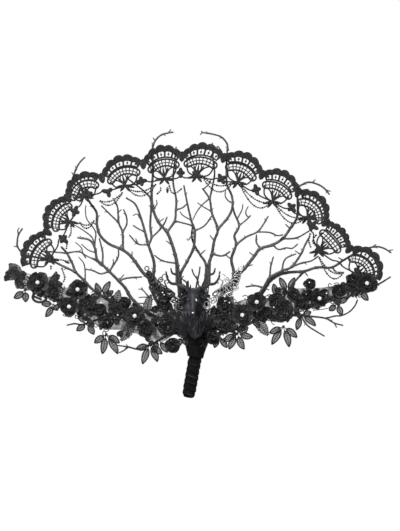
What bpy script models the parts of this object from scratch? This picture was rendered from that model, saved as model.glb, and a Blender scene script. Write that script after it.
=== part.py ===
"""Gothic branch hand fan: twig ribs, lace trim, flower garland, stag bust and wrapped handle.

Metres, +Z up. The fan stands upright in the XZ plane and faces -Y. The origin is the middle of
the hand grip. Outlines and routes are written in millimetres as (x, z) pairs seen from the front.
"""

import math

import bmesh
import bpy
from mathutils import Matrix, Vector

MM = 0.001

# driving sizes, mm
GAP = 0.4
LEAN_DEG = 10.0
CORE_RADIUS = 6.2
SLEEVE_THICKNESS = 1.7
GRIP_BOTTOM = -36.0
GRIP_TOP = 21.0
COLLAR_TOP = 42.0
HUB_CENTRE = (2.0, 46.0)
HUB_RADIUS = 31.0
HUB_FRONT = -2.0
HUB_BACK = 17.0
NECK_Y = 1.5
FELT_THICKNESS = 1.5

# depth layers, mm: the branches cross on three layers, the trimmings lie in front
LAYER_FRONT = 2.0
LAYER_MIDDLE = 7.5
LAYER_REAR = 13.0
LACE_BACK = -3.4
LACE_THICKNESS = 1.6
SWAG_Y = -6.4
BASE_BACK = -6.6
BASE_THICKNESS = 1.8
LEAF_BACK = -8.8
LEAF_THICKNESS = 1.4
FILIGREE_Y = -11.5
PETAL_THICKNESS = 1.4
PEARL_RADIUS = 3.0

# materials: colour, roughness, metallic
MATERIALS = {
    "branch": ((0.045, 0.045, 0.048), 0.55, 0.0),
    "lace": ((0.018, 0.018, 0.02), 0.8, 0.0),
    "velvet": ((0.012, 0.012, 0.014), 0.95, 0.0),
    "chiffon": ((0.03, 0.03, 0.033), 0.85, 0.0),
    "organza": ((0.09, 0.09, 0.1), 0.7, 0.0),
    "leaf_lace": ((0.02, 0.02, 0.022), 0.8, 0.0),
    "pearl": ((0.86, 0.85, 0.84), 0.2, 0.0),
    "resin": ((0.055, 0.058, 0.068), 0.5, 0.0),
    "gunmetal": ((0.2, 0.2, 0.21), 0.35, 1.0),
    "wood": ((0.32, 0.2, 0.11), 0.7, 0.0),
    "wire": ((0.3, 0.3, 0.3), 0.4, 1.0),
    "felt": ((0.02, 0.02, 0.022), 0.95, 0.0),
    "glue": ((0.03, 0.03, 0.032), 0.5, 0.0),
    "beads": ((0.01, 0.01, 0.012), 0.25, 0.0),
}

# ribs: node, layer, then paths of (first radius, last radius, points)
BRANCHES = [
    ("branch_far_left", LAYER_MIDDLE, [
        (2.6, 1.3, [(-36, 50), (-62, 64), (-95, 82), (-120, 97), (-133, 106), (-142, 116), (-153, 127),
                    (-158, 139), (-165, 152), (-172, 160)]),
        (1.5, 1.0, [(-153, 127), (-168, 134), (-185, 142), (-202, 146), (-220, 150), (-229, 160),
                    (-229.5, 168), (-228, 176), (-223, 184)]),
        (1.0, 0.9, [(-165, 152), (-178, 153), (-190, 154)]),
        (1.0, 0.9, [(-165, 152), (-153, 154), (-145, 152.5), (-140, 146)]),
    ]),
    ("branch_left", LAYER_FRONT, [
        (2.6, 1.2, [(-34.5, 60), (-60, 75), (-80, 93), (-88, 106), (-97, 116), (-109, 128), (-118, 137),
                    (-125, 144), (-128, 159), (-135, 169), (-150, 172)]),
        (1.2, 0.9, [(-118, 137), (-117.5, 151), (-120, 163), (-122, 171)]),
        (1.2, 0.9, [(-109, 128), (-98, 146), (-97, 157)]),
        (1.2, 0.9, [(-109, 128), (-120, 125), (-130, 129), (-140, 131)]),
        (1.3, 1.0, [(-97, 116), (-86, 119.5), (-67, 121)]),
    ]),
    ("branch_mid_left", LAYER_REAR, [
        (2.6, 1.0, [(-31.5, 64), (-45, 85), (-54, 104), (-57, 117.5), (-67, 128), (-80, 146), (-92, 156),
                    (-110, 164), (-122, 175.5), (-126, 189), (-126.5, 205), (-135, 218), (-145, 235),
                    (-155.5, 252), (-153, 263), (-148, 271.5), (-142, 277.5)]),
        (1.5, 0.9, [(-92, 156), (-92.5, 179), (-97.5, 192), (-99, 212), (-105, 224)]),
        (1.1, 0.9, [(-97.5, 192), (-108, 202), (-120, 214)]),
        (1.1, 0.9, [(-92.5, 179), (-87, 190), (-87.5, 200), (-91, 209)]),
    ]),
    ("branch_inner_left", LAYER_MIDDLE, [
        (2.5, 1.1, [(-22, 72), (-38, 88), (-48, 102), (-52, 118), (-51, 139), (-58.5, 163), (-63, 180),
                    (-67, 194), (-75, 215), (-87, 224)]),
        (1.5, 1.0, [(-58.5, 163), (-54.5, 172), (-56, 189), (-55, 219), (-62, 231), (-85, 249)]),
        (1.1, 0.9, [(-54.5, 172), (-45, 181), (-38, 190), (-34, 199)]),
        (1.1, 0.9, [(-58.5, 163), (-72, 164), (-83, 175.5)]),
        (1.0, 0.9, [(-63, 180), (-71, 183.5), (-78, 188)]),
    ]),
    ("branch_centre_left", LAYER_FRONT, [
        (2.5, 1.0, [(-13, 77), (-17, 95), (-19, 117.5), (-21, 139), (-27, 162), (-34, 179), (-45, 192),
                    (-52, 209), (-54, 230), (-52, 262), (-53, 285), (-50, 297), (-42, 305.5), (-32, 308.5),
                    (-26, 309.5)]),
        (1.5, 0.9, [(-34, 179), (-24, 194), (-22.5, 208), (-22, 222), (-26, 245), (-24, 270), (-22, 290)]),
        (1.1, 0.9, [(-24, 194), (-12, 191), (-1, 188)]),
        (1.1, 0.9, [(-22.5, 208), (-14, 211), (-8, 216)]),
        (1.2, 0.9, [(-21, 139), (-32, 140), (-42, 143), (-50, 149)]),
    ]),
    ("branch_cross_left", LAYER_MIDDLE, [
        (2.3, 1.0, [(-7, 78.5), (-13, 100), (-17, 122), (-8, 141), (0.5, 159), (2, 181), (-2.5, 195),
                    (-8, 219), (-12, 240)]),
        (1.1, 0.9, [(2, 181), (15, 188), (24, 200)]),
    ]),
    ("branch_cross_right", LAYER_REAR, [
        (2.3, 1.0, [(8, 78), (14, 105), (17, 135), (9, 150), (2, 162), (-2, 175), (0, 190)]),
    ]),
    ("branch_centre_right", LAYER_FRONT, [
        (2.5, 1.1, [(14, 76.5), (17, 95), (19, 117), (20, 136), (24.5, 151), (27.5, 168), (32, 183),
                    (24.5, 204), (21.5, 222), (12.5, 236)]),
        (1.6, 1.0, [(32, 183), (45, 198), (51, 211), (50.5, 226), (44, 242), (43.5, 262), (44, 280),
                    (45, 290), (43, 296.5), (36, 303.5), (24.5, 307), (12, 309)]),
        (1.2, 0.9, [(21.5, 222), (25.5, 240), (28, 256), (26, 275), (25, 295)]),
        (1.3, 1.0, [(24.5, 151), (38, 148.5), (48, 154)]),
    ]),
    ("branch_inner_right", LAYER_MIDDLE, [
        (2.5, 1.1, [(24, 70.5), (38, 86), (49, 104), (53, 126), (50, 144), (56, 163), (54, 175), (60, 188),
                    (54, 204), (51, 216)]),
        (1.4, 0.9, [(56, 163), (69, 173), (84, 180), (92, 190), (98, 200)]),
        (1.0, 0.9, [(60, 188), (69, 195), (75, 201)]),
        (1.0, 0.9, [(84, 180), (100, 179), (110, 175), (117, 176)]),
    ]),
    ("branch_mid_right", LAYER_REAR, [
        (2.6, 1.0, [(30, 65), (45, 92), (59, 122), (69, 134), (80, 148), (88, 158), (104, 163), (117, 171),
                    (127, 184), (136, 199), (137, 220), (136, 236), (146, 243.5), (153, 245), (160, 243.5),
                    (168, 240), (174, 235), (178.5, 229)]),
        (1.2, 0.9, [(117, 171), (135, 172), (152, 181)]),
        (1.1, 0.9, [(88, 158), (83, 166), (83, 176)]),
        (1.0, 0.9, [(104, 163), (112, 157), (122, 159), (130, 158.5), (137, 164)]),
    ]),
    ("branch_right", LAYER_FRONT, [
        (2.6, 1.1, [(34.5, 59), (60, 77), (80, 92), (92, 107), (100, 120), (116, 129), (128, 134), (140, 150),
                    (145.5, 162), (152, 174)]),
        (1.3, 0.9, [(128, 134), (141, 139), (154, 142), (163, 148)]),
        (1.2, 0.9, [(100, 120), (101, 134), (104.5, 147)]),
        (1.3, 1.0, [(92, 107), (80, 109.5), (69, 108)]),
        (1.1, 0.9, [(116, 129), (117.5, 139), (122, 146), (134, 151)]),
    ]),
    ("branch_far_right", LAYER_MIDDLE, [
        (2.6, 1.0, [(36, 51), (64, 70), (88, 97), (99, 114), (112, 123.5), (125, 127), (145, 128.5),
                    (162, 133.5), (181, 133.5), (196, 142.5), (212, 152), (226, 158), (240, 160.5),
                    (250, 158), (258.5, 152.5)]),
    ]),
    ("branch_low_right", LAYER_REAR, [
        (2.3, 1.0, [(35, 46), (70, 58), (105, 80), (124, 102), (135, 117), (148, 129), (161, 134)]),
    ]),
    ("twig_centre", LAYER_REAR, [
        (1.4, 0.9, [(1, 78.5), (3.5, 104), (6, 118), (8, 126), (9, 134)]),
        (1.0, 0.9, [(6, 118), (1, 124), (-1.5, 131)]),
    ]),
    ("twig_far_left", LAYER_FRONT, [
        (1.6, 0.9, [(-102, 73), (-125, 65), (-144, 59), (-154, 60), (-164, 58)]),
    ]),
    ("twig_low_left", LAYER_MIDDLE, [
        (1.6, 0.9, [(-36, 43), (-52, 34), (-69, 26.5), (-85, 29.5), (-99, 31.5)]),
        (1.0, 0.9, [(-85, 29.5), (-90, 25), (-96, 22)]),
    ]),
    ("twig_low_right", LAYER_FRONT, [
        (1.7, 0.9, [(98, 68), (120, 71), (140, 70.5), (156, 69.5), (173, 67), (184, 61), (195, 58)]),
        (1.0, 0.9, [(173, 67), (184, 70), (194, 71), (204, 76), (211, 84), (214, 91)]),
        (1.1, 0.9, [(140, 70.5), (149, 58), (160, 50.5), (171, 44)]),
    ]),
    ("twig_right_tip", LAYER_FRONT, [
        (1.6, 1.0, [(200, 104), (222, 106), (240, 111), (257, 121)]),
    ]),
]

# lace trim: the valleys between its scallops, the height of each scallop, and its inner edge
LACE_VALLEYS = [(-222, 134), (-192, 181), (-165, 226), (-119, 253), (-65, 271), (-14, 281), (41, 279),
                (91, 257), (138, 234), (175, 194), (205, 160), (243, 116)]
SCALLOP_HEIGHTS = [10, 12, 13, 14, 15, 15, 14, 14, 13, 12, 12]
LACE_LEFT_END = [(-226, 116), (-198, 114)]
LACE_INNER = [(-180, 140), (-163, 166), (-148, 190), (-128, 213), (-88, 231), (-37, 240), (8, 243),
              (58, 235), (100, 211), (142, 189), (160, 160), (186, 130)]
LACE_RIGHT_END = [(208, 114), (240, 100)]

# bead swags: node, left end, right end, drops of the upper and lower string
SWAGS = [
    ("swag_far_left", (-147, 192), (-128, 194), 5, 9),
    ("swag_left", (-121, 220), (-91, 231), 6, 11),
    ("swag_mid_left", (-84, 235), (-48, 241), 6, 12),
    ("swag_centre", (11, 253), (52, 244), 9, 17),
    ("swag_mid_right", (60, 243), (101, 218), 9, 18),
    ("swag_right", (105, 217), (147, 200), 9, 17),
    ("swag_far_right", (163, 147), (195, 127), 9, 17),
]
SWAG_RADIUS = 0.8

# garland backing, petals and leaves
BASE_LEFT = [(-237, 137), (-226, 129), (-196, 122), (-178, 128), (-168, 112), (-150, 114), (-130, 102),
             (-100, 102), (-80, 84), (-50, 88), (-24, 78), (-24, 42), (-38, 30), (-56, 32), (-72, 42),
             (-96, 46), (-114, 45), (-140, 62), (-165, 76), (-190, 94), (-219, 102), (-228, 115), (-243, 119),
             (-233, 127)]
BASE_RIGHT = [(24, 80), (46, 92), (66, 98), (86, 96), (110, 106), (134, 112), (165, 111), (195, 115),
              (228, 124), (243, 110), (226, 98), (190, 88), (164, 80), (140, 70), (117, 55), (92, 60),
              (74, 60), (58, 46), (40, 40), (24, 36)]
FLOWERS = [
    ("far_left", (-200, 114), 16.0, 5, 90, 0),
    ("left_top", (-148.5, 105), 14.0, 5, 60, 0),
    ("left_low", (-159, 83), 13.5, 5, 20, 1),
    ("mid_left", (-75, 71), 15.0, 5, 75, 0),
    ("mid_right", (63.5, 72), 16.0, 5, 100, 0),
    ("right_top", (82, 89), 14.0, 5, 40, 1),
    ("right_low", (163, 93.5), 12.5, 8, 0, 0),
    ("far_right", (224, 113), 15.0, 5, 10, 0),
]
FLOWER_LEVELS = (-11.4, -16.0)
LEAF_SPRAYS = [
    ("leaf_far_left", (-217, 104), [(-231, 94), (-216, 89), (-226, 116)]),
    ("leaf_low_left", (-112, 47), [(-127, 36), (-117, 22), (-97, 22), (-95, 36)]),
    ("leaf_mid_left", (-56, 34), [(-73, 29), (-65, 9), (-46, 12), (-40, 22)]),
    ("leaf_mid_right", (57, 48), [(77, 44), (71, 56), (47, 28), (66, 28), (40, 38)]),
    ("leaf_low_right", (117, 57), [(99, 49), (102, 34), (124, 31), (134, 43)]),
]
LEAF_HALF_WIDTH = 3.4

# stag bust: a stem of (x, y, z, half width, half depth), then the ears
BUST_STEM = [(3, -18, 50, 13, 5), (2.5, -21, 60, 16, 8), (1, -24, 74, 12, 8.5), (0, -25, 88, 8.5, 7.5),
             (0, -28, 97, 9, 7), (0, -36, 92, 6.8, 6), (0, -43, 83, 4.6, 4.4), (0, -46.5, 78, 4, 3.4)]
EAR_TIP = (18, -26, 101, 1.3, 1.3)
ANTLER_BEAM = [(8.5, -26, 108), (14, -25, 108.5), (20, -22, 112), (21, -17, 124), (22, -12, 140)]
ANTLER_OUTER = [(20, -22, 112), (28, -24, 113), (33, -24, 120), (34.5, -23, 128)]
ANTLER_INNER = [(21, -17, 124), (26.5, -18, 126), (28.5, -18, 132)]

# metal scroll ornament, right-hand piece, with the x of the mirror line between the two
FILIGREE_MIRROR_X = 1.0
FILIGREE_STEM = [(26, 97), (34, 101), (43, 105), (51, 111), (56, 120), (60, 128)]
FILIGREE_LOOPS = [
    ((34, 101), (38.5, 120.5), 4.2),
    ((51, 111), (44, 115.5), 2.4),
    ((60, 128), (61.5, 133), 2.6),
    ((26, 97), (18.5, 88), 5.0),
]

part = bpy.data.collections.new("hand_fan")
cutters = bpy.data.collections.new("cutters")


def clear_scene():
    for obj in list(bpy.data.objects):
        bpy.data.objects.remove(obj, do_unlink=True)
    bpy.context.scene.collection.children.link(part)
    bpy.context.scene.collection.children.link(cutters)


def make_materials():
    for name, (colour, roughness, metallic) in MATERIALS.items():
        material = bpy.data.materials.new(name)
        material.use_nodes = True
        shader = material.node_tree.nodes["Principled BSDF"]
        shader.inputs["Base Color"].default_value = (*colour, 1.0)
        shader.inputs["Roughness"].default_value = roughness
        shader.inputs["Metallic"].default_value = metallic


def front(point, y):
    """A front-view point in mm, at depth y, as a vector in metres."""
    return Vector((point[0], y, point[1])) * MM


def add_object(name, data, material, collection=None):
    obj = bpy.data.objects.new(name, data)
    data.materials.append(bpy.data.materials[material])
    (collection or part).objects.link(obj)
    return obj


def take(obj, name, collection):
    """Name a new primitive and move it into one of the two collections."""
    obj.name = name
    for holder in list(obj.users_collection):
        holder.objects.unlink(obj)
    collection.objects.link(obj)
    if collection is cutters:
        obj.hide_render = True
        obj.display_type = "WIRE"
    return obj


def as_mesh(obj):
    """Replace a curve by a welded mesh of its evaluated shape."""
    bpy.context.view_layer.update()
    evaluated = obj.evaluated_get(bpy.context.evaluated_depsgraph_get())
    mesh = bpy.data.meshes.new_from_object(evaluated)
    bm = bmesh.new()
    bm.from_mesh(mesh)
    bmesh.ops.remove_doubles(bm, verts=bm.verts, dist=0.02 * MM)
    bmesh.ops.recalc_face_normals(bm, faces=bm.faces)
    bm.to_mesh(mesh)
    bm.free()
    name = obj.name
    material = obj.data.materials[0].name
    matrix = obj.matrix_world.copy()
    bpy.data.objects.remove(obj, do_unlink=True)
    mesh.materials.clear()
    solid = add_object(name, mesh, material)
    solid.matrix_world = matrix
    return solid


def plate(name, outline, back, thickness, material, hole=()):
    """A flat outline, seen from the front, from y = back to y = back - thickness, less its hole."""
    curve = bpy.data.curves.new(name, "CURVE")
    curve.dimensions = "2D"
    curve.fill_mode = "BOTH"
    curve.extrude = thickness / 2 * MM
    for loop in (outline, hole):
        if not loop:
            continue
        spline = curve.splines.new("POLY")
        spline.points.add(len(loop) - 1)
        for target, (x, z) in zip(spline.points, loop):
            target.co = (x * MM, z * MM, 0, 1)
        spline.use_cyclic_u = True
    obj = add_object(name, curve, material)
    obj.rotation_euler = (math.radians(90), 0, 0)
    obj.location = (0, (back - thickness / 2) * MM, 0)
    return as_mesh(obj)


def skin_tree(name, paths, material, smooth_levels=0):
    """One closed skin around joined paths of (point, (radius x, radius y)), in mm."""
    points, radii, edges = [], [], []
    index = {}
    for path in paths:
        previous = None
        for point, radius in path:
            key = tuple(round(value, 3) for value in point)
            if key not in index:
                index[key] = len(points)
                points.append(Vector(point) * MM)
                radii.append(radius)
            current = index[key]
            if previous is not None:
                edges.append((previous, current))
            previous = current
    mesh = bpy.data.meshes.new(name)
    mesh.from_pydata(points, edges, [])
    obj = add_object(name, mesh, material)
    obj.modifiers.new("Skin", "SKIN")
    for vertex, radius in zip(mesh.skin_vertices[0].data, radii):
        vertex.radius = (radius[0] * MM, radius[1] * MM)
    if smooth_levels:
        smooth = obj.modifiers.new("Smooth", "SUBSURF")
        smooth.levels = smooth_levels
        smooth.render_levels = smooth_levels
    return obj


def tapered(route, first, last):
    """Points along a route with a radius that runs evenly from first to last."""
    steps = len(route) - 1
    sizes = [first + (last - first) * i / steps for i in range(len(route))]
    return [(point, (size, size)) for point, size in zip(route, sizes)]


def at_hub(point, radius):
    """Slide a stem's lower end along its own bearing until it meets the rim of the stem hub."""
    centre = Vector(HUB_CENTRE)
    bearing = (Vector(point) - centre).normalized()
    return tuple(centre + bearing * (HUB_RADIUS + radius + GAP))


def make_branches():
    for name, layer, paths in BRANCHES:
        if name.startswith("branch"):
            first, last, points = paths[0]
            paths = [(first, last, [at_hub(points[0], first)] + points[1:])] + paths[1:]
        routes = [tapered([(x, layer, z) for x, z in points], first, last)
                  for first, last, points in paths]
        skin_tree(name, routes, "branch")


def lean(obj):
    """Tip a turned piece from the +Z axis onto the leaning axis of the handle."""
    obj.rotation_euler = (0, math.radians(LEAN_DEG), 0)


def turned(name, profile, material, sides):
    """A solid of revolution from (radius, height) points in mm, given top to bottom."""
    mesh = bpy.data.meshes.new(name)
    points = [(radius * MM, 0, height * MM) for radius, height in profile]
    mesh.from_pydata(points, [(i, i + 1) for i in range(len(points) - 1)], [])
    obj = add_object(name, mesh, material)
    screw = obj.modifiers.new("Turn", "SCREW")
    screw.steps = sides
    screw.render_steps = sides
    screw.use_merge_vertices = True
    screw.merge_threshold = 0.01 * MM
    return obj


def make_handle():
    core_top = COLLAR_TOP - 22
    core_bottom = GRIP_BOTTOM + 4
    core = turned("handle_core", [(0, core_top), (CORE_RADIUS, core_top),
                                  (CORE_RADIUS, core_bottom + 1.5), (CORE_RADIUS - 1.5, core_bottom),
                                  (0, core_bottom)], "wood", 14)
    lean(core)

    inner = CORE_RADIUS + GAP
    outer = inner + SLEEVE_THICKNESS
    turns = 7
    pitch = (GRIP_TOP - GRIP_BOTTOM - 8) / turns
    profile = [(inner, GRIP_TOP)]
    for turn in range(turns):
        top = GRIP_TOP - turn * pitch
        profile.append((outer - 0.5, top))
        profile.append((outer, top - pitch * 0.75))
    profile.extend([(outer, GRIP_BOTTOM + 6), (outer - 2.5, GRIP_BOTTOM + 1.5), (outer - 6, GRIP_BOTTOM),
                    (0, GRIP_BOTTOM), (0, core_bottom - GAP), (inner - 1.3, core_bottom - GAP),
                    (inner, core_bottom + 1.1)])
    profile.append(profile[0])
    lean(turned("velvet_wrap", profile, "velvet", 16))

    bottom = 17.0
    collar_inner = outer + GAP
    collar = [(collar_inner, COLLAR_TOP - 14), (15.0, COLLAR_TOP), (17.5, COLLAR_TOP),
              (14.5, COLLAR_TOP - 12), (collar_inner + 1.6, bottom), (collar_inner, bottom)]
    collar.append(collar[0])
    lean(turned("wrap_collar", collar, "velvet", 20))

    bpy.ops.mesh.primitive_torus_add(major_radius=5.4 * MM, minor_radius=0.6 * MM,
                                     major_segments=14, minor_segments=5)
    wire = take(bpy.context.object, "binding_wire", part)
    wire.data.materials.append(bpy.data.materials["wire"])
    height = COLLAR_TOP - 16
    angle = math.radians(LEAN_DEG)
    wire.location = (math.sin(angle) * height * MM, NECK_Y * MM, math.cos(angle) * height * MM)
    lean(wire)


def make_hub():
    """The glued bundle in which the stems end, with a neck that stands in the collar."""
    steps = 14
    centre = HUB_CENTRE
    outline = []
    for step in range(steps + 1):
        angle = math.pi * step / steps
        outline.append((centre[0] + HUB_RADIUS * math.cos(angle), centre[1] + HUB_RADIUS * math.sin(angle)))
    hub = plate("stem_hub", outline, HUB_BACK, HUB_BACK - HUB_FRONT, "glue")

    angle = math.radians(LEAN_DEG)
    low = COLLAR_TOP - 21
    high = HUB_CENTRE[1] + 6
    middle = (low + high) / 2
    bpy.ops.mesh.primitive_cylinder_add(vertices=16, radius=4.2 * MM, depth=(high - low) * MM)
    neck = take(bpy.context.object, "neck_tool", cutters)
    neck.location = (math.sin(angle) * middle * MM, NECK_Y * MM, math.cos(angle) * middle * MM)
    lean(neck)
    join = hub.modifiers.new("Neck", "BOOLEAN")
    join.operation = "UNION"
    join.object = neck

    pad = [(-22, 48), (26, 48), (26, 58), (18, 70), (-14, 70), (-22, 58)]
    plate("back_felt", pad, HUB_BACK + GAP + FELT_THICKNESS, FELT_THICKNESS, "felt")


def scallop(start, end, height, steps=8):
    """Points from one valley up over a scallop's crown and down to the next, without the last."""
    a = Vector(start)
    b = Vector(end)
    along = b - a
    outward = Vector((-along.y, along.x)).normalized()
    points = []
    for step in range(steps):
        t = step / steps
        rise = height * math.sqrt(max(0.0, 1 - (2 * t - 1) ** 2))
        points.append(tuple(a + along * t + outward * rise))
    return points


def make_lace():
    outline = []
    for start, end, height in zip(LACE_VALLEYS, LACE_VALLEYS[1:], SCALLOP_HEIGHTS):
        outline.extend(scallop(start, end, height))
    outline.append(LACE_VALLEYS[-1])
    outline.extend(reversed(LACE_RIGHT_END))
    outline.extend(reversed(LACE_INNER))
    outline.extend(reversed(LACE_LEFT_END))
    plate("lace_trim", outline, LACE_BACK, LACE_THICKNESS, "lace")


def hanging(start, end, drop, offset, steps=5):
    """Edge points of a string that sags by drop between two places, offset upwards from its middle."""
    points = []
    for step in range(steps + 1):
        t = step / steps
        x = start[0] + (end[0] - start[0]) * t
        z = start[1] + (end[1] - start[1]) * t - drop * (1 - (2 * t - 1) ** 2) + offset
        points.append((round(x, 3), round(z, 3)))
    return points


def make_swags():
    """Two strings that meet at both ends, cut as one flat crescent with the gap between them open."""
    for name, start, end, upper, lower in SWAGS:
        top = hanging(start, end, upper, SWAG_RADIUS)
        bottom = hanging(start, end, lower, -SWAG_RADIUS)
        gap_top = hanging(start, end, upper, -SWAG_RADIUS)[1:-1]
        gap_bottom = hanging(start, end, lower, SWAG_RADIUS)[1:-1]
        swag = plate(name, top + bottom[::-1], SWAG_Y + SWAG_RADIUS, 2 * SWAG_RADIUS, "beads",
                     gap_top + gap_bottom[::-1])
        pivot = front(start, SWAG_Y)
        swag.data.transform(Matrix.Translation(-pivot) @ swag.matrix_world)
        swag.matrix_world = Matrix.Translation(pivot)


def petal_ring(centre, radius, petals, turn_deg):
    """The outline of an open flower: each petal has a notch, two shoulders and a tip."""
    outline = []
    shape = [(0.0, 0.42), (0.2, 0.86), (0.5, 1.0), (0.8, 0.86)]
    for petal in range(petals):
        for fraction, reach in shape:
            angle = math.radians(turn_deg) + 2 * math.pi * (petal + fraction) / petals
            outline.append((centre[0] + radius * reach * math.cos(angle),
                            centre[1] + radius * reach * math.sin(angle)))
    return outline


def make_flowers():
    for name, centre, radius, petals, turn_deg, level in FLOWERS:
        back = FLOWER_LEVELS[level]
        flower = plate("flower_" + name, petal_ring(centre, radius, petals, turn_deg), back,
                       PETAL_THICKNESS, "chiffon")
        stem_back = BASE_BACK - BASE_THICKNESS - GAP
        stem_front = back - PETAL_THICKNESS / 2
        bpy.ops.mesh.primitive_cylinder_add(vertices=8, radius=1.5 * MM, depth=(stem_back - stem_front) * MM,
                                            location=front(centre, (stem_back + stem_front) / 2),
                                            rotation=(math.radians(90), 0, 0))
        stem = take(bpy.context.object, "stem_tool_" + name, cutters)
        join = flower.modifiers.new("Stem", "BOOLEAN")
        join.operation = "UNION"
        join.object = stem

        pearl_y = back - PETAL_THICKNESS - GAP - PEARL_RADIUS
        mesh = bpy.data.meshes.new("pearl_" + name)
        bm = bmesh.new()
        bmesh.ops.create_uvsphere(bm, u_segments=8, v_segments=6, radius=PEARL_RADIUS * MM)
        bm.to_mesh(mesh)
        bm.free()
        pearl = add_object("pearl_" + name, mesh, "pearl")
        pearl.location = front(centre, pearl_y)
        pearl.data.shade_smooth()


def leaf_outline(hub, tips):
    """A spray of pointed leaves that join at a small round hub."""
    hub = Vector(hub)
    ordered = sorted(tips, key=lambda tip: math.atan2(tip[1] - hub.y, tip[0] - hub.x))
    outline = []
    for tip in ordered:
        along = Vector(tip) - hub
        side = Vector((-along.y, along.x)).normalized()
        for share, width in ((0.3, -0.15), (0.55, -0.9), (0.75, -0.9), (1.0, 0.0), (0.75, 0.9), (0.55, 0.9),
                             (0.3, 0.15)):
            outline.append(tuple(hub + along * share + side * width * LEAF_HALF_WIDTH))
    return outline


def make_garland():
    plate("garland_base_left", BASE_LEFT, BASE_BACK, BASE_THICKNESS, "organza")
    plate("garland_base_right", BASE_RIGHT, BASE_BACK, BASE_THICKNESS, "organza")
    for name, hub, tips in LEAF_SPRAYS:
        plate(name, leaf_outline(hub, tips), LEAF_BACK, LEAF_THICKNESS, "leaf_lace")


def make_stag():
    stem = [((x, y, z), (wide, deep)) for x, y, z, wide, deep in BUST_STEM]
    head = stem[4]
    paths = [stem]
    for side in (-1, 1):
        x, y, z, wide, deep = EAR_TIP
        paths.append([head, ((side * x, y, z), (wide, deep))])
    skin_tree("stag_bust", paths, "resin", 1)
    for name, side in (("antler_left", -1), ("antler_right", 1)):
        routes = []
        for route, first, last in ((ANTLER_BEAM, 2.0, 1.0), (ANTLER_OUTER, 1.5, 0.8), (ANTLER_INNER, 1.2, 0.8)):
            routes.append(tapered([(side * x, y, z) for x, y, z in route], first, last))
        skin_tree(name, routes, "resin")


def make_filigree():
    for name, mirrored in (("filigree_right", False), ("filigree_left", True)):
        def place(x, z):
            if mirrored:
                x = 2 * FILIGREE_MIRROR_X - x
            return (round(x, 3), FILIGREE_Y, round(z, 3))

        paths = [tapered([place(x, z) for x, z in FILIGREE_STEM], 1.4, 0.9)]
        for root, centre, radius in FILIGREE_LOOPS:
            start = math.atan2(root[1] - centre[1], root[0] - centre[0])
            ring = []
            for step in range(7):
                angle = start + 2 * math.pi * step / 6
                ring.append(place(centre[0] + radius * math.cos(angle), centre[1] + radius * math.sin(angle)))
            paths.append(tapered(ring, 0.7, 0.7))
            paths.append(tapered([place(*root), ring[0]], 0.9, 0.7))
        skin_tree(name, paths, "gunmetal")


clear_scene()
make_materials()
make_handle()
make_hub()
make_branches()
make_lace()
make_swags()
make_flowers()
make_garland()
make_stag()
make_filigree()
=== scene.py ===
"""Looks of the gothic branch hand fan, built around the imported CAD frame.

Shapes are worked out in millimetres in the frame's axes (the front faces -Y) and stored in metres.
Front-view points are (x, z) pairs, as in the CAD source, whose routes are repeated here.
"""

import math
import random

import bmesh
import bpy
import numpy as np
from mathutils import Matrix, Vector


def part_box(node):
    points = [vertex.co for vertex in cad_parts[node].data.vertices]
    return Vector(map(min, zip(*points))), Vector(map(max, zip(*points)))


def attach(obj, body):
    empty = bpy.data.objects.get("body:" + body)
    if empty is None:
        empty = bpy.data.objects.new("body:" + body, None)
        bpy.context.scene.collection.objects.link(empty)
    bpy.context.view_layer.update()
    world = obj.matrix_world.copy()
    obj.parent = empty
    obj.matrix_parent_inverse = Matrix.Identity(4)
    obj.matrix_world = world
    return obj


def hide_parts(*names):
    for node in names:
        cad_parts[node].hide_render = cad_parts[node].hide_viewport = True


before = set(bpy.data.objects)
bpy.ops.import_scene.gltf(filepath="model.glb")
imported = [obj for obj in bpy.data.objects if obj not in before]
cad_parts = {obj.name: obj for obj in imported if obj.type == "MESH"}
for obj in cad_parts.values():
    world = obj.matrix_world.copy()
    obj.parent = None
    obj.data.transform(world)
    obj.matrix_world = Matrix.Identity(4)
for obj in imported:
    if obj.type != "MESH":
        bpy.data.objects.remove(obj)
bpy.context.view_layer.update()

MM = 0.001
FAN = "fan"
TOWARDS_VIEWER = (0.0, -1.0, 0.0)

# a tube's rounded ends, as shares of its radius: a narrower ring set out from the end, and a tip
SHOULDER_OUT = 0.6
SHOULDER_SIZE = 0.55
TIP_OUT = 0.3
# how much of a ring's height is cut off at each pole of a bead
POLE_CUT = 0.12

# depths of the layers, mm, as in the CAD
LAYER_FRONT = 2.0
LAYER_MIDDLE = 7.5
LAYER_REAR = 13.0
LACE_Y = -4.2
SWAG_Y = -6.4
BASE_Y = -7.5
LEAF_Y = -9.5
FLOWER_Y = (-12.0, -16.6)
FILIGREE_Y = -11.5
PEARL_RADIUS = 3.0
PEARL_LIFT = 4.6

# stem hub and handle, mm
HUB_CENTRE = (2.0, 46.0)
HUB_RADIUS = 31.0
LEAN_DEG = 10.0
WRAP_RADIUS = 8.3
WRAP_BOTTOM = -36.0
WRAP_TOP = 21.0
WRAP_TURNS = 6
RIBBON_WIDTH = 11.0
# how far up the wrap's foot is rounded, mm, and its radius at the very end as a share
FOOT_ROUNDING = 9.0
FOOT_SHARE = 0.6
WRAP_PITCH = (WRAP_TOP - WRAP_BOTTOM - RIBBON_WIDTH) / WRAP_TURNS
COLLAR_BOTTOM = 17.0
COLLAR_TOP = 42.0
# how far the gathered edge stands above the CAD's collar, its mean radius, and cloth over girth
COLLAR_EDGE = 3.0
COLLAR_RADIUS = 12.8
COLLAR_FULLNESS = 1.2
# straight up the leaning handle
HANDLE_UP = (0.17, 0, 0.98)


# ---------------------------------------------------------------- geometry helpers

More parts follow.
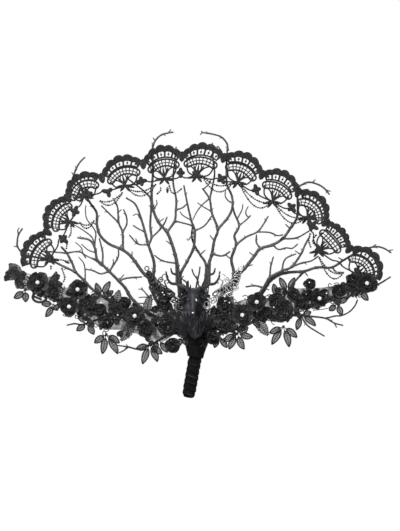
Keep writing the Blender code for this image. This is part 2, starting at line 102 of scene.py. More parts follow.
def smooth(points, step=1.5):
    """A Catmull-Rom curve through the points, sampled about every step mm."""
    points = np.array(points, dtype=float)
    if len(points) < 3:
        count = max(2, int(np.linalg.norm(points[-1] - points[0]) / step) + 1)
        share = np.linspace(0, 1, count)[:, None]
        return points[0] * (1 - share) + points[-1] * share
    padded = np.vstack([2 * points[0] - points[1], points, 2 * points[-1] - points[-2]])
    pieces = []
    for a, b, c, d in zip(padded, padded[1:], padded[2:], padded[3:]):
        count = max(2, int(round(np.linalg.norm(c - b) / step)))
        t = np.arange(count)[:, None] / count
        pieces.append(0.5 * (2 * b + (c - a) * t + (2 * a - 5 * b + 4 * c - d) * t ** 2
                             + (3 * b - a - 3 * c + d) * t ** 3))
    pieces.append(points[-1][None, :])
    return np.vstack(pieces)


def at_depth(points, y):
    """Front-view (x, z) points as (x, y, z)."""
    points = np.array(points, dtype=float)
    depth = np.broadcast_to(np.asarray(y, dtype=float), (len(points),))
    return np.column_stack([points[:, 0], depth, points[:, 1]])


def unit(vectors):
    """Vectors of the same directions, 1 long."""
    length = np.linalg.norm(vectors, axis=-1, keepdims=True)
    return vectors / np.maximum(length, 1e-9)


def run_length(path):
    """Distance of each point along its path."""
    steps = np.linalg.norm(np.diff(path, axis=0), axis=1)
    return np.concatenate([[0.0], np.cumsum(steps)])


def ring_quads(rings, sides):
    """Faces between each ring of points and the next one."""
    index = np.arange(rings * sides).reshape(rings, sides)
    turned = np.roll(index, -1, axis=1)
    return np.stack([index[:-1], turned[:-1], turned[1:], index[1:]], axis=-1).reshape(-1, 4)


class Shape:
    """Points and faces of one piece in mm, with a grain coordinate that follows its threads."""

    def __init__(self):
        self.points = []
        self.grain = []
        self.tone = []
        self.faces = []
        self.count = 0
        # the cloth that the piece is cut from, mm2
        self.cut = 0.0

    def add(self, points, grain, faces, tone=0.5):
        """Tone is 0 for the deepest and 1 for the lightest shade of the piece; it holds the material's
        own random differences and also painted light and shade.
        """
        self.points.append(np.asarray(points, dtype=float))
        self.tone.append(np.broadcast_to(np.asarray(tone, dtype=float), (len(points),)))
        self.grain.append(np.asarray(grain, dtype=float))
        self.faces.extend((np.asarray(faces) + self.count).tolist())
        self.count += len(points)

    def tube(self, path, radius, sides=6, flat=1.0, ref=TOWARDS_VIEWER, ridge=0.0, tone=0.5):
        """A round-ended tube; flat is its depth over its width, ridge a fluting of its surface."""
        path = np.array(path, dtype=float)
        radius = np.broadcast_to(np.asarray(radius, dtype=float), (len(path),))
        ahead = unit(np.gradient(path, axis=0))
        first = path[0] - ahead[0] * radius[0] * SHOULDER_OUT
        last = path[-1] + ahead[-1] * radius[-1] * SHOULDER_OUT
        path = np.vstack([first, path, last])
        ahead = np.vstack([ahead[0], ahead, ahead[-1]])
        radius = np.concatenate([[radius[0] * SHOULDER_SIZE], radius, [radius[-1] * SHOULDER_SIZE]])
        side = unit(np.cross(ahead, np.array(ref, dtype=float)))
        up = np.cross(side, ahead)
        angles = np.arange(sides) * 2 * math.pi / sides
        fluted = 1 + ridge * np.cos(angles * 3)
        across = np.cos(angles) * fluted
        out = np.sin(angles) * fluted * flat
        ring = (path[:, None, :] + radius[:, None, None]
                * (across[None, :, None] * side[:, None, :] + out[None, :, None] * up[:, None, :]))
        along = run_length(path)
        grain = np.stack([radius[:, None] * across[None, :], radius[:, None] * out[None, :],
                          np.repeat(along[:, None], sides, axis=1)], axis=2)
        rows = len(path)
        quads = ring_quads(rows, sides)
        points = ring.reshape(-1, 3)
        flat_grain = grain.reshape(-1, 3)
        tips = np.vstack([path[0] - ahead[0] * radius[0] * TIP_OUT,
                          path[-1] + ahead[-1] * radius[-1] * TIP_OUT])
        start = self.count
        self.add(np.vstack([points, tips]),
                 np.vstack([flat_grain, flat_grain[:1], flat_grain[-1:]]), quads, tone)
        low = start + rows * sides
        for i in range(sides):
            j = (i + 1) % sides
            self.faces.append([start + j, start + i, low])
            end = start + (rows - 1) * sides
            self.faces.append([end + i, end + j, low + 1])

    def slab(self, rows, thickness, normals=None, grain=None, tone=0.5):
        """A closed sheet of some thickness from a grid of front-surface points."""
        rows = np.array(rows, dtype=float)
        n, m = rows.shape[:2]
        if normals is None:
            normals = unit(np.cross(np.gradient(rows, axis=0), np.gradient(rows, axis=1)))
        normals = np.broadcast_to(np.asarray(normals, dtype=float), rows.shape)
        back = rows - normals * thickness
        if grain is None:
            across = np.linalg.norm(np.diff(rows, axis=1, prepend=rows[:, :1]), axis=2).cumsum(axis=1)
            along = np.linalg.norm(np.diff(rows, axis=0, prepend=rows[:1]), axis=2).cumsum(axis=0)
            across = across - across[:, m // 2][:, None]
            grain = np.stack([across, np.zeros((n, m)), along], axis=2)
        front_index = np.arange(n * m).reshape(n, m)
        back_index = front_index + n * m
        quads = []
        for index, flip in ((front_index, False), (back_index, True)):
            ring = [index[:-1, :-1], index[1:, :-1], index[1:, 1:], index[:-1, 1:]]
            if flip:
                ring = ring[::-1]
            quads.append(np.stack(ring, axis=-1).reshape(-1, 4))
        rim = np.concatenate([front_index[0, :-1], front_index[:-1, -1], front_index[-1, :0:-1],
                              front_index[:0:-1, 0]])
        after = np.roll(rim, -1)
        quads.append(np.stack([rim, after, after + n * m, rim + n * m], axis=-1))
        grain = np.asarray(grain, dtype=float).reshape(-1, 3)
        shade = np.broadcast_to(np.asarray(tone, dtype=float), (n, m)).reshape(-1)
        self.add(np.vstack([rows.reshape(-1, 3), back.reshape(-1, 3)]), np.vstack([grain, grain]),
                 np.vstack(quads), np.concatenate([shade, shade]))

    def ball(self, centre, radius, segments=8, rings=5):
        """A faceted bead; radius is one number or one for each axis."""
        radius = np.broadcast_to(np.asarray(radius, dtype=float), (3,))
        centre = np.array(centre, dtype=float)
        points = []
        for ring in range(rings + 1):
            tilt = math.pi * (ring + POLE_CUT) / (rings + 2 * POLE_CUT)
            for segment in range(segments):
                turn = 2 * math.pi * segment / segments
                points.append((math.sin(tilt) * math.cos(turn), math.sin(tilt) * math.sin(turn),
                               math.cos(tilt)))
        points = np.array(points)
        quads = ring_quads(rings + 1, segments)[:, [0, 3, 2, 1]]
        start = self.count
        self.add(centre + points * radius, points * radius, quads)
        self.faces.append([start + i for i in range(segments)])
        self.faces.append([start + rings * segments + i for i in reversed(range(segments))])

    def build(self, name, material):
        """The shape as a smooth-shaded object in metres."""
        points = np.vstack(self.points) * MM
        mesh = bpy.data.meshes.new(name)
        mesh.from_pydata(points.tolist(), [], self.faces)
        outward = bmesh.new()
        outward.from_mesh(mesh)
        bmesh.ops.recalc_face_normals(outward, faces=outward.faces)
        outward.to_mesh(mesh)
        outward.free()
        grain = mesh.attributes.new("grain", "FLOAT_VECTOR", "POINT")
        grain.data.foreach_set("vector", np.vstack(self.grain).astype(np.float32).ravel())
        tone = mesh.attributes.new("tone", "FLOAT", "POINT")
        tone.data.foreach_set("value", np.concatenate(self.tone).astype(np.float32))
        mesh.materials.append(material)
        mesh.shade_smooth()
        mesh.update()
        obj = bpy.data.objects.new(name, mesh)
        bpy.context.scene.collection.objects.link(obj)
        return obj


def piece(shape, name, slot, nodes=(), body=FAN, material=None):
    """Builds a shape as a visible piece that rides on a body and stands for CAD nodes."""
    obj = shape.build(name, material or FINISH[slot])
    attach(obj, body)
    if nodes:
        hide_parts(*nodes)
    return obj


# ---------------------------------------------------------------- materials

class Graph:
    """A short way to add and link the nodes of one material."""

    def __init__(self, name, coordinates="grain"):
        self.material = bpy.data.materials.new(name)
        self.material.use_nodes = True
        self.tree = self.material.node_tree
        self.shader = self.tree.nodes["Principled BSDF"]
        if coordinates == "grain":
            source = self.tree.nodes.new("ShaderNodeAttribute")
            source.attribute_name = "grain"
            self.coordinates = source.outputs["Vector"]
        else:
            source = self.tree.nodes.new("ShaderNodeTexCoord")
            self.coordinates = self.stretch(source.outputs["Object"], (1 / MM, 1 / MM, 1 / MM))

    def node(self, kind, links=(), **settings):
        """Adds a node; links are pairs of a socket and its value or the output that feeds it."""
        made = self.tree.nodes.new(kind)
        for key, value in settings.items():
            setattr(made, key, value)
        for socket, source in links:
            if isinstance(source, (int, float, tuple)):
                made.inputs[socket].default_value = source
            else:
                self.tree.links.new(source, made.inputs[socket])
        return made

    def tone(self):
        """The tone that the shape gives each of its points, painted light and shade among it."""
        source = self.tree.nodes.new("ShaderNodeAttribute")
        source.attribute_name = "tone"
        return source.outputs["Fac"]

    def math(self, operation, a, b):
        return self.node("ShaderNodeMath", [(0, a), (1, b)], operation=operation).outputs[0]

    def stretch(self, vector, scale):
        return self.node("ShaderNodeMapping", [("Vector", vector), ("Scale", scale)]).outputs["Vector"]

    def noise(self, scale, stretched=(1, 1, 1), detail=3.0, roughness=0.55):
        vector = self.stretch(self.coordinates, stretched)
        return self.node("ShaderNodeTexNoise",
                         [("Vector", vector), ("Scale", scale), ("Detail", detail),
                                                ("Roughness", roughness)]).outputs["Fac"]

    def threads(self, scale, axis, distortion, stretched=(1, 1, 1)):
        """Parallel threads across an axis of the grain."""
        vector = self.stretch(self.coordinates, stretched)
        return self.node("ShaderNodeTexWave", [("Vector", vector), ("Scale", scale),
                                               ("Distortion", distortion), ("Detail", 1.0)],
                         bands_direction=axis).outputs["Fac"]

    def ramp(self, factor, *stops):
        """Colours or grey levels by factor; each stop is a position and a value."""
        made = self.node("ShaderNodeValToRGB", [("Fac", factor)])
        elements = made.color_ramp.elements
        while len(elements) < len(stops):
            elements.new(0.5)
        for element, (position, value) in zip(elements, stops):
            element.position = position
            colour = value if isinstance(value, tuple) else (value, value, value)
            element.color = (*colour, 1.0)
        return made.outputs["Color"]

    def mix(self, factor, a, b, blend="MIX"):
        return self.node("ShaderNodeMix", [(0, factor), (6, a), (7, b)], data_type="RGBA",
                         blend_type=blend).outputs[2]

    def finish(self, colour, roughness, height=None, bump=0.3, distance=0.2, alpha=None, **sockets):
        """Feeds the shader; distance is the depth of the bumps in mm, sockets are plain values."""
        link = self.tree.links.new
        link(colour, self.shader.inputs["Base Color"])
        link(roughness, self.shader.inputs["Roughness"])
        if height is not None:
            made = self.node("ShaderNodeBump", [("Height", height), ("Strength", bump),
                                                ("Distance", distance * MM)])
            link(made.outputs["Normal"], self.shader.inputs["Normal"])
        if alpha is not None:
            link(alpha, self.shader.inputs["Alpha"])
        for key, value in sockets.items():
            self.shader.inputs[key.replace("_", " ")].default_value = value
        return self.material


def grey(value, tint=(1.0, 1.0, 1.02)):
    return tuple(value * part for part in tint)


def solid(value, tint=(1.0, 1.0, 1.02)):
    return (*grey(value, tint), 1.0)


def make_branch_plastic():
    graph = Graph("branch_plastic")
    streaks = graph.noise(0.9, (1, 1, 0.08), detail=5)
    mottling = graph.noise(0.06, detail=2)
    colour = graph.ramp(streaks, (0.3, grey(0.014)), (0.5, grey(0.045)), (0.75, grey(0.14)))
    colour = graph.mix(graph.ramp(mottling, (0.35, 0.0), (0.7, 0.5)), colour,
                       solid(0.04, (1.06, 1.0, 0.92)))
    height = graph.noise(2.2, (1, 1, 0.22), detail=6)
    return graph.finish(colour, graph.ramp(streaks, (0.3, 0.5), (0.7, 0.36)), height, 0.5, 0.3,
                        Specular_IOR_Level=0.55)


def make_lace_thread():
    graph = Graph("lace_thread")
    stitches = graph.threads(1.05, "Z", 1.6)
    # painted sheen: noise patches, scaled by the tone, that mix a lighter grey into the thread's colour
    painted_sheen = graph.noise(0.22, detail=3)
    colour = graph.mix(stitches, solid(0.003), solid(0.014))
    shade = graph.math("MULTIPLY", graph.ramp(painted_sheen, (0.4, 0.05), (0.7, 1.0)), graph.tone())
    colour = graph.mix(shade, colour, solid(0.08))
    return graph.finish(colour, graph.ramp(stitches, (0.2, 0.55), (0.8, 0.36)), stitches, 0.6, 0.18,
                        Sheen_Weight=0.02, Sheen_Roughness=0.4, Specular_IOR_Level=0.28)


def make_velvet():
    graph = Graph("velvet")
    pile = graph.noise(4.5, detail=4)
    crush = graph.noise(0.16, (1, 1, 1.6), detail=3)
    colour = graph.mix(graph.ramp(crush, (0.42, 0.0), (0.72, 0.9)), solid(0.002), solid(0.011))
    colour = graph.mix(graph.ramp(pile, (0.45, 0.0), (0.8, 0.35)), colour, solid(0.014))
    # painted highlight: a tone above a half mixes in a lighter grey; only the crease lines have one
    colour = graph.mix(graph.ramp(graph.tone(), (0.5, 0.0), (1.0, 1.0)), colour, solid(0.07))
    return graph.finish(colour, graph.ramp(pile, (0.3, 0.98), (0.8, 0.8)), pile, 0.5, 0.2,
                        Sheen_Weight=0.08, Sheen_Roughness=0.3, Specular_IOR_Level=0.1)


def make_chiffon():
    graph = Graph("chiffon")
    warp = graph.threads(1.6, "X", 0.4)
    weft = graph.threads(1.6, "Z", 0.4)
    weave = graph.mix(0.5, warp, weft)
    # painted light and shade of folds: noise that lightens and darkens the colour, added to the tone,
    # which paints the petals' light and shade
    folds = graph.noise(0.35, (1.8, 1, 0.4), detail=3)
    shade = graph.math("ADD", graph.math("MULTIPLY", folds, 0.45),
                       graph.math("MULTIPLY", graph.tone(), 0.75))
    colour = graph.ramp(shade, (0.3, grey(0.002)), (0.55, grey(0.012)), (0.8, grey(0.06)),
                        (0.98, grey(0.2)))
    colour = graph.mix(graph.ramp(weave, (0.35, 0.35), (0.75, 0.0)), colour, solid(0.005))
    return graph.finish(colour, graph.ramp(weave, (0.3, 0.75), (0.7, 0.5)), weave, 0.35, 0.12,
                        Sheen_Weight=0.05, Sheen_Roughness=0.45, Specular_IOR_Level=0.35)


def make_satin():
    graph = Graph("ribbon_satin")
    warp = graph.threads(2.2, "Z", 0.5)
    # painted sheen: noise patches that, with the tone, lighten the ribbon's colour
    painted_sheen = graph.noise(0.3, (0.6, 1, 1.6), detail=3)
    shade = graph.math("ADD", graph.math("MULTIPLY", painted_sheen, 0.5),
                       graph.math("MULTIPLY", graph.tone(), 0.6))
    colour = graph.ramp(shade, (0.3, grey(0.002)), (0.6, grey(0.012)), (0.9, grey(0.07)))
    return graph.finish(colour, graph.ramp(warp, (0.3, 0.55), (0.7, 0.38)), warp, 0.2, 0.1,
                        Sheen_Weight=0.05, Sheen_Roughness=0.4)


def make_organza():
    graph = Graph("organza")
    warp = graph.threads(1.25, "X", 0.3)
    weft = graph.threads(1.25, "Z", 0.3)
    weave = graph.mix(1.0, warp, weft, "LIGHTEN")
    patches = graph.noise(0.11, detail=3)
    colour = graph.ramp(patches, (0.32, grey(0.004)), (0.52, grey(0.02)), (0.7, grey(0.12)))
    alpha = graph.ramp(graph.mix(0.3, patches, weave), (0.3, 0.96), (0.5, 0.75), (0.66, 0.3))
    return graph.finish(colour, graph.ramp(weave, (0.2, 0.65), (0.8, 0.4)), weave, 0.3, 0.12, alpha,
                        Sheen_Weight=0.15, Sheen_Roughness=0.4)


def make_leaf_lace():
    graph = Graph("leaf_lace")
    net_a = graph.threads(0.62, "DIAGONAL", 0.4)
    net_b = graph.threads(0.62, "DIAGONAL", 0.4, (-1, 1, 1))
    net = graph.mix(1.0, net_a, net_b, "LIGHTEN")
    tone = graph.noise(0.3, detail=3)
    colour = graph.ramp(net, (0.5, grey(0.2)), (0.95, grey(0.01)))
    colour = graph.mix(graph.ramp(tone, (0.4, 0.0), (0.75, 0.4)), colour, solid(0.03))
    alpha = graph.ramp(net, (0.5, 0.2), (0.92, 0.9))
    return graph.finish(colour, graph.ramp(net, (0.3, 0.5), (0.8, 0.75)), net, 0.7, 0.25, alpha,
                        Sheen_Weight=0.1, Sheen_Roughness=0.4)


def make_pearl():
    graph = Graph("pearl")
    nacre = graph.noise(0.35, detail=4)
    colour = graph.ramp(nacre, (0.3, (0.6, 0.58, 0.57)), (0.7, (0.85, 0.84, 0.82)))
    return graph.finish(colour, graph.ramp(nacre, (0.3, 0.26), (0.7, 0.14)), nacre, 0.08, 0.1,
                        Coat_Weight=0.6, Coat_Roughness=0.08, Specular_IOR_Level=0.6)


def make_resin():
    graph = Graph("resin")
    washes = graph.noise(0.22, detail=4)
    hair = graph.noise(1.1, (1, 1, 0.18), detail=5)
    colour = graph.ramp(washes, (0.3, (0.012, 0.0125, 0.015)), (0.7, (0.04, 0.042, 0.05)))
    colour = graph.mix(graph.ramp(hair, (0.5, 0.0), (0.8, 0.4)), colour, (0.1, 0.105, 0.12, 1.0))
    colour = graph.mix(graph.ramp(graph.tone(), (0.5, 0.0), (1.0, 0.75)), colour,
                       (0.22, 0.23, 0.26, 1.0))
    # painted shade: a tone under a half mixes in near-black, most on the neck and chest
    colour = graph.mix(graph.ramp(graph.tone(), (0.0, 0.85), (0.5, 0.0)), colour,
                       (0.003, 0.003, 0.004, 1.0))
    return graph.finish(colour, graph.ramp(hair, (0.3, 0.55), (0.8, 0.5)), hair, 0.5, 0.3,
                        Specular_IOR_Level=0.22)


def make_gunmetal(name, dark, light):
    graph = Graph(name)
    # painted highlights and dark reflections: the noise and the tone spread the metal's colour from
    # near-black to light grey
    wear_and_shine = graph.noise(0.8, detail=4)
    shade = graph.math("ADD", graph.math("MULTIPLY", wear_and_shine, 0.7),
                       graph.math("MULTIPLY", graph.tone(), 0.3))
    colour = graph.ramp(shade, (0.36, grey(dark)), (0.62, grey(light)))
    return graph.finish(colour, graph.ramp(wear_and_shine, (0.3, 0.45), (0.7, 0.25)), wear_and_shine, 0.4, 0.3,
                        Metallic=0.8)


def make_beads():
    graph = Graph("beads")
    cut = graph.noise(1.4, detail=2)
    colour = graph.ramp(cut, (0.35, grey(0.002)), (0.7, grey(0.012)))
    return graph.finish(colour, graph.ramp(cut, (0.3, 0.3), (0.7, 0.16)), cut, 0.15, 0.1,
                        Coat_Weight=0.5, Coat_Roughness=0.1)


def make_wood():
    graph = Graph("wood", "object")
    rings = graph.noise(0.9, (1, 1, 0.06), detail=5)
    colour = graph.ramp(rings, (0.35, (0.2, 0.115, 0.055)), (0.65, (0.38, 0.25, 0.14)))
    return graph.finish(colour, graph.ramp(rings, (0.3, 0.75), (0.7, 0.55)), rings, 0.4, 0.2)


def make_wire():
    graph = Graph("wire", "object")
    wear_and_shine = graph.noise(1.2, detail=4)
    colour = graph.ramp(wear_and_shine, (0.35, grey(0.16)), (0.7, grey(0.4)))
    return graph.finish(colour, graph.ramp(wear_and_shine, (0.3, 0.5), (0.7, 0.3)), wear_and_shine, 0.2, 0.1, Metallic=1.0)


def make_felt():
    graph = Graph("felt")
    fibres = graph.noise(2.6, detail=6, roughness=0.75)
    lint = graph.noise(0.3, detail=3)
    colour = graph.ramp(fibres, (0.3, grey(0.008)), (0.75, grey(0.035)))
    colour = graph.mix(graph.ramp(lint, (0.5, 0.0), (0.8, 0.4)), colour, solid(0.045))
    return graph.finish(colour, graph.ramp(fibres, (0.3, 1.0), (0.7, 0.85)), fibres, 0.7, 0.3,
                        Sheen_Weight=0.3, Sheen_Roughness=0.6)


def make_glue():
    graph = Graph("glue")
    runs = graph.noise(0.35, (1, 1, 0.5), detail=4)
    colour = graph.ramp(runs, (0.3, grey(0.01)), (0.7, grey(0.045)))
    return graph.finish(colour, graph.ramp(runs, (0.3, 0.5), (0.7, 0.28)), runs, 0.6, 0.5,
                        Specular_IOR_Level=0.5)


def make_crystal():
    graph = Graph("crystal")
    cut = graph.noise(0.9, detail=2)
    # a near-white colour: painted glints and reflections of clear glass
    colour = graph.ramp(cut, (0.3, (0.7, 0.72, 0.75)), (0.7, (0.95, 0.95, 0.97)))
    return graph.finish(colour, graph.ramp(cut, (0.3, 0.12), (0.7, 0.05)), cut, 0.1, 0.1,
                        Coat_Weight=1.0, Coat_Roughness=0.03)


def make_floor():
    graph = Graph("floor", "object")
    speckle = graph.noise(0.02, detail=2)
    return graph.finish(graph.ramp(speckle, (0.3, grey(0.84)), (0.7, grey(0.87))),
                        graph.ramp(speckle, (0.3, 0.9), (0.7, 0.8)))


FINISH = {
    "branch": make_branch_plastic(),
    "lace": make_lace_thread(),
    "velvet": make_velvet(),
    "chiffon": make_chiffon(),
    "organza": make_organza(),
    "leaf_lace": make_leaf_lace(),
    "pearl": make_pearl(),
    "resin": make_resin(),
    "gunmetal": make_gunmetal("gunmetal", 0.03, 0.7),
    "wood": make_wood(),
    "wire": make_wire(),
    "felt": make_felt(),
    "glue": make_glue(),
    "beads": make_beads(),
}
BLACKENED = make_gunmetal("gunmetal_blackened", 0.02, 0.1)
CRYSTAL = make_crystal()
SATIN = make_satin()


# ---------------------------------------------------------------- branches

# node, layer, then paths of (first radius, last radius, points), as in the CAD
BRANCHES = [
    ("branch_far_left", LAYER_MIDDLE, [
        (2.6, 1.3, [(-36, 50), (-62, 64), (-95, 82), (-120, 97), (-133, 106), (-142, 116),
                    (-153, 127), (-158, 139), (-165, 152), (-172, 160)]),
        (1.5, 1.0, [(-153, 127), (-168, 134), (-185, 142), (-202, 146), (-220, 150), (-229, 160),
                    (-229.5, 168), (-228, 176), (-223, 184)]),
        (1.0, 0.9, [(-165, 152), (-178, 153), (-190, 154)]),
        (1.0, 0.9, [(-165, 152), (-153, 154), (-145, 152.5), (-140, 146)]),
    ]),
    ("branch_left", LAYER_FRONT, [
        (2.6, 1.2, [(-34.5, 60), (-60, 75), (-80, 93), (-88, 106), (-97, 116), (-109, 128),
                    (-118, 137), (-125, 144), (-128, 159), (-135, 169), (-150, 172)]),
        (1.2, 0.9, [(-118, 137), (-117.5, 151), (-120, 163), (-122, 171)]),
        (1.2, 0.9, [(-109, 128), (-98, 146), (-97, 157)]),
        (1.2, 0.9, [(-109, 128), (-120, 125), (-130, 129), (-140, 131)]),
        (1.3, 1.0, [(-97, 116), (-86, 119.5), (-67, 121)]),
    ]),
    ("branch_mid_left", LAYER_REAR, [
        (2.6, 1.0, [(-31.5, 64), (-45, 85), (-54, 104), (-57, 117.5), (-67, 128), (-80, 146),
                    (-92, 156), (-110, 164), (-122, 175.5), (-126, 189), (-126.5, 205),
                    (-135, 218), (-145, 235), (-155.5, 252), (-153, 263), (-148, 271.5),
                    (-142, 277.5)]),
        (1.5, 0.9, [(-92, 156), (-92.5, 179), (-97.5, 192), (-99, 212), (-105, 224)]),
        (1.1, 0.9, [(-97.5, 192), (-108, 202), (-120, 214)]),
        (1.1, 0.9, [(-92.5, 179), (-87, 190), (-87.5, 200), (-91, 209)]),
    ]),
    ("branch_inner_left", LAYER_MIDDLE, [
        (2.5, 1.1, [(-22, 72), (-38, 88), (-48, 102), (-52, 118), (-51, 139), (-58.5, 163),
                    (-63, 180), (-67, 194), (-75, 215), (-87, 224)]),
        (1.5, 1.0, [(-58.5, 163), (-54.5, 172), (-56, 189), (-55, 219), (-62, 231), (-85, 249)]),
        (1.1, 0.9, [(-54.5, 172), (-45, 181), (-38, 190), (-34, 199)]),
        (1.1, 0.9, [(-58.5, 163), (-72, 164), (-83, 175.5)]),
        (1.0, 0.9, [(-63, 180), (-71, 183.5), (-78, 188)]),
    ]),
    ("branch_centre_left", LAYER_FRONT, [
        (2.5, 1.0, [(-13, 77), (-17, 95), (-19, 117.5), (-21, 139), (-27, 162), (-34, 179),
                    (-45, 192), (-52, 209), (-54, 230), (-52, 262), (-53, 285), (-50, 297),
                    (-42, 305.5), (-32, 308.5), (-26, 309.5)]),
        (1.5, 0.9, [(-34, 179), (-24, 194), (-22.5, 208), (-22, 222), (-26, 245), (-24, 270),
                    (-22, 290)]),
        (1.1, 0.9, [(-24, 194), (-12, 191), (-1, 188)]),
        (1.1, 0.9, [(-22.5, 208), (-14, 211), (-8, 216)]),
        (1.2, 0.9, [(-21, 139), (-32, 140), (-42, 143), (-50, 149)]),
    ]),
    ("branch_cross_left", LAYER_MIDDLE, [
        (2.3, 1.0, [(-7, 78.5), (-13, 100), (-17, 122), (-8, 141), (0.5, 159), (2, 181),
                    (-2.5, 195), (-8, 219), (-12, 240)]),
        (1.1, 0.9, [(2, 181), (15, 188), (24, 200)]),
    ]),
    ("branch_cross_right", LAYER_REAR, [
        (2.3, 1.0, [(8, 78), (14, 105), (17, 135), (9, 150), (2, 162), (-2, 175), (0, 190)]),
    ]),
    ("branch_centre_right", LAYER_FRONT, [
        (2.5, 1.1, [(14, 76.5), (17, 95), (19, 117), (20, 136), (24.5, 151), (27.5, 168),
                    (32, 183), (24.5, 204), (21.5, 222), (12.5, 236)]),
        (1.6, 1.0, [(32, 183), (45, 198), (51, 211), (50.5, 226), (44, 242), (43.5, 262),
                    (44, 280), (45, 290), (43, 296.5), (36, 303.5), (24.5, 307), (12, 309)]),
        (1.2, 0.9, [(21.5, 222), (25.5, 240), (28, 256), (26, 275), (25, 295)]),
        (1.3, 1.0, [(24.5, 151), (38, 148.5), (48, 154)]),
    ]),
    ("branch_inner_right", LAYER_MIDDLE, [
        (2.5, 1.1, [(24, 70.5), (38, 86), (49, 104), (53, 126), (50, 144), (56, 163), (54, 175),
                    (60, 188), (54, 204), (51, 216)]),
        (1.4, 0.9, [(56, 163), (69, 173), (84, 180), (92, 190), (98, 200)]),
        (1.0, 0.9, [(60, 188), (69, 195), (75, 201)]),
        (1.0, 0.9, [(84, 180), (100, 179), (110, 175), (117, 176)]),
    ]),
    ("branch_mid_right", LAYER_REAR, [
        (2.6, 1.0, [(30, 65), (45, 92), (59, 122), (69, 134), (80, 148), (88, 158), (104, 163),
                    (117, 171), (127, 184), (136, 199), (137, 220), (136, 236), (146, 243.5),
                    (153, 245), (160, 243.5), (168, 240), (174, 235), (178.5, 229)]),
        (1.2, 0.9, [(117, 171), (135, 172), (152, 181)]),
        (1.1, 0.9, [(88, 158), (83, 166), (83, 176)]),
        (1.0, 0.9, [(104, 163), (112, 157), (122, 159), (130, 158.5), (137, 164)]),
    ]),
    ("branch_right", LAYER_FRONT, [
        (2.6, 1.1, [(34.5, 59), (60, 77), (80, 92), (92, 107), (100, 120), (116, 129), (128, 134),
                    (140, 150), (145.5, 162), (152, 174)]),
        (1.3, 0.9, [(128, 134), (141, 139), (154, 142), (163, 148)]),
        (1.2, 0.9, [(100, 120), (101, 134), (104.5, 147)]),
        (1.3, 1.0, [(92, 107), (80, 109.5), (69, 108)]),
        (1.1, 0.9, [(116, 129), (117.5, 139), (122, 146), (134, 151)]),
    ]),
    ("branch_far_right", LAYER_MIDDLE, [
        (2.6, 1.0, [(36, 51), (64, 70), (88, 97), (99, 114), (112, 123.5), (125, 127),
                    (145, 128.5), (162, 133.5), (181, 133.5), (196, 142.5), (212, 152), (226, 158),
                    (240, 160.5), (250, 158), (258.5, 152.5)]),
    ]),
    ("branch_low_right", LAYER_REAR, [
        (2.3, 1.0, [(35, 46), (70, 58), (105, 80), (124, 102), (135, 117), (148, 129), (161, 134)]),
    ]),
    ("twig_centre", LAYER_REAR, [
        (1.4, 0.9, [(1, 78.5), (3.5, 104), (6, 118), (8, 126), (9, 134)]),
        (1.0, 0.9, [(6, 118), (1, 124), (-1.5, 131)]),
    ]),
    ("twig_far_left", LAYER_FRONT, [
        (1.6, 0.9, [(-102, 73), (-125, 65), (-144, 59), (-154, 60), (-164, 58)]),
    ]),
    ("twig_low_left", LAYER_MIDDLE, [
        (1.6, 0.9, [(-36, 43), (-52, 34), (-69, 26.5), (-85, 29.5), (-99, 31.5)]),
        (1.0, 0.9, [(-85, 29.5), (-90, 25), (-96, 22)]),
    ]),
    ("twig_low_right", LAYER_FRONT, [
        (1.7, 0.9, [(98, 68), (120, 71), (140, 70.5), (156, 69.5), (173, 67), (184, 61),
                    (195, 58)]),
        (1.0, 0.9, [(173, 67), (184, 70), (194, 71), (204, 76), (211, 84), (214, 91)]),
        (1.1, 0.9, [(140, 70.5), (149, 58), (160, 50.5), (171, 44)]),
    ]),
    ("twig_right_tip", LAYER_FRONT, [
        (1.6, 1.0, [(200, 104), (222, 106), (240, 111), (257, 121)]),
    ]),
]

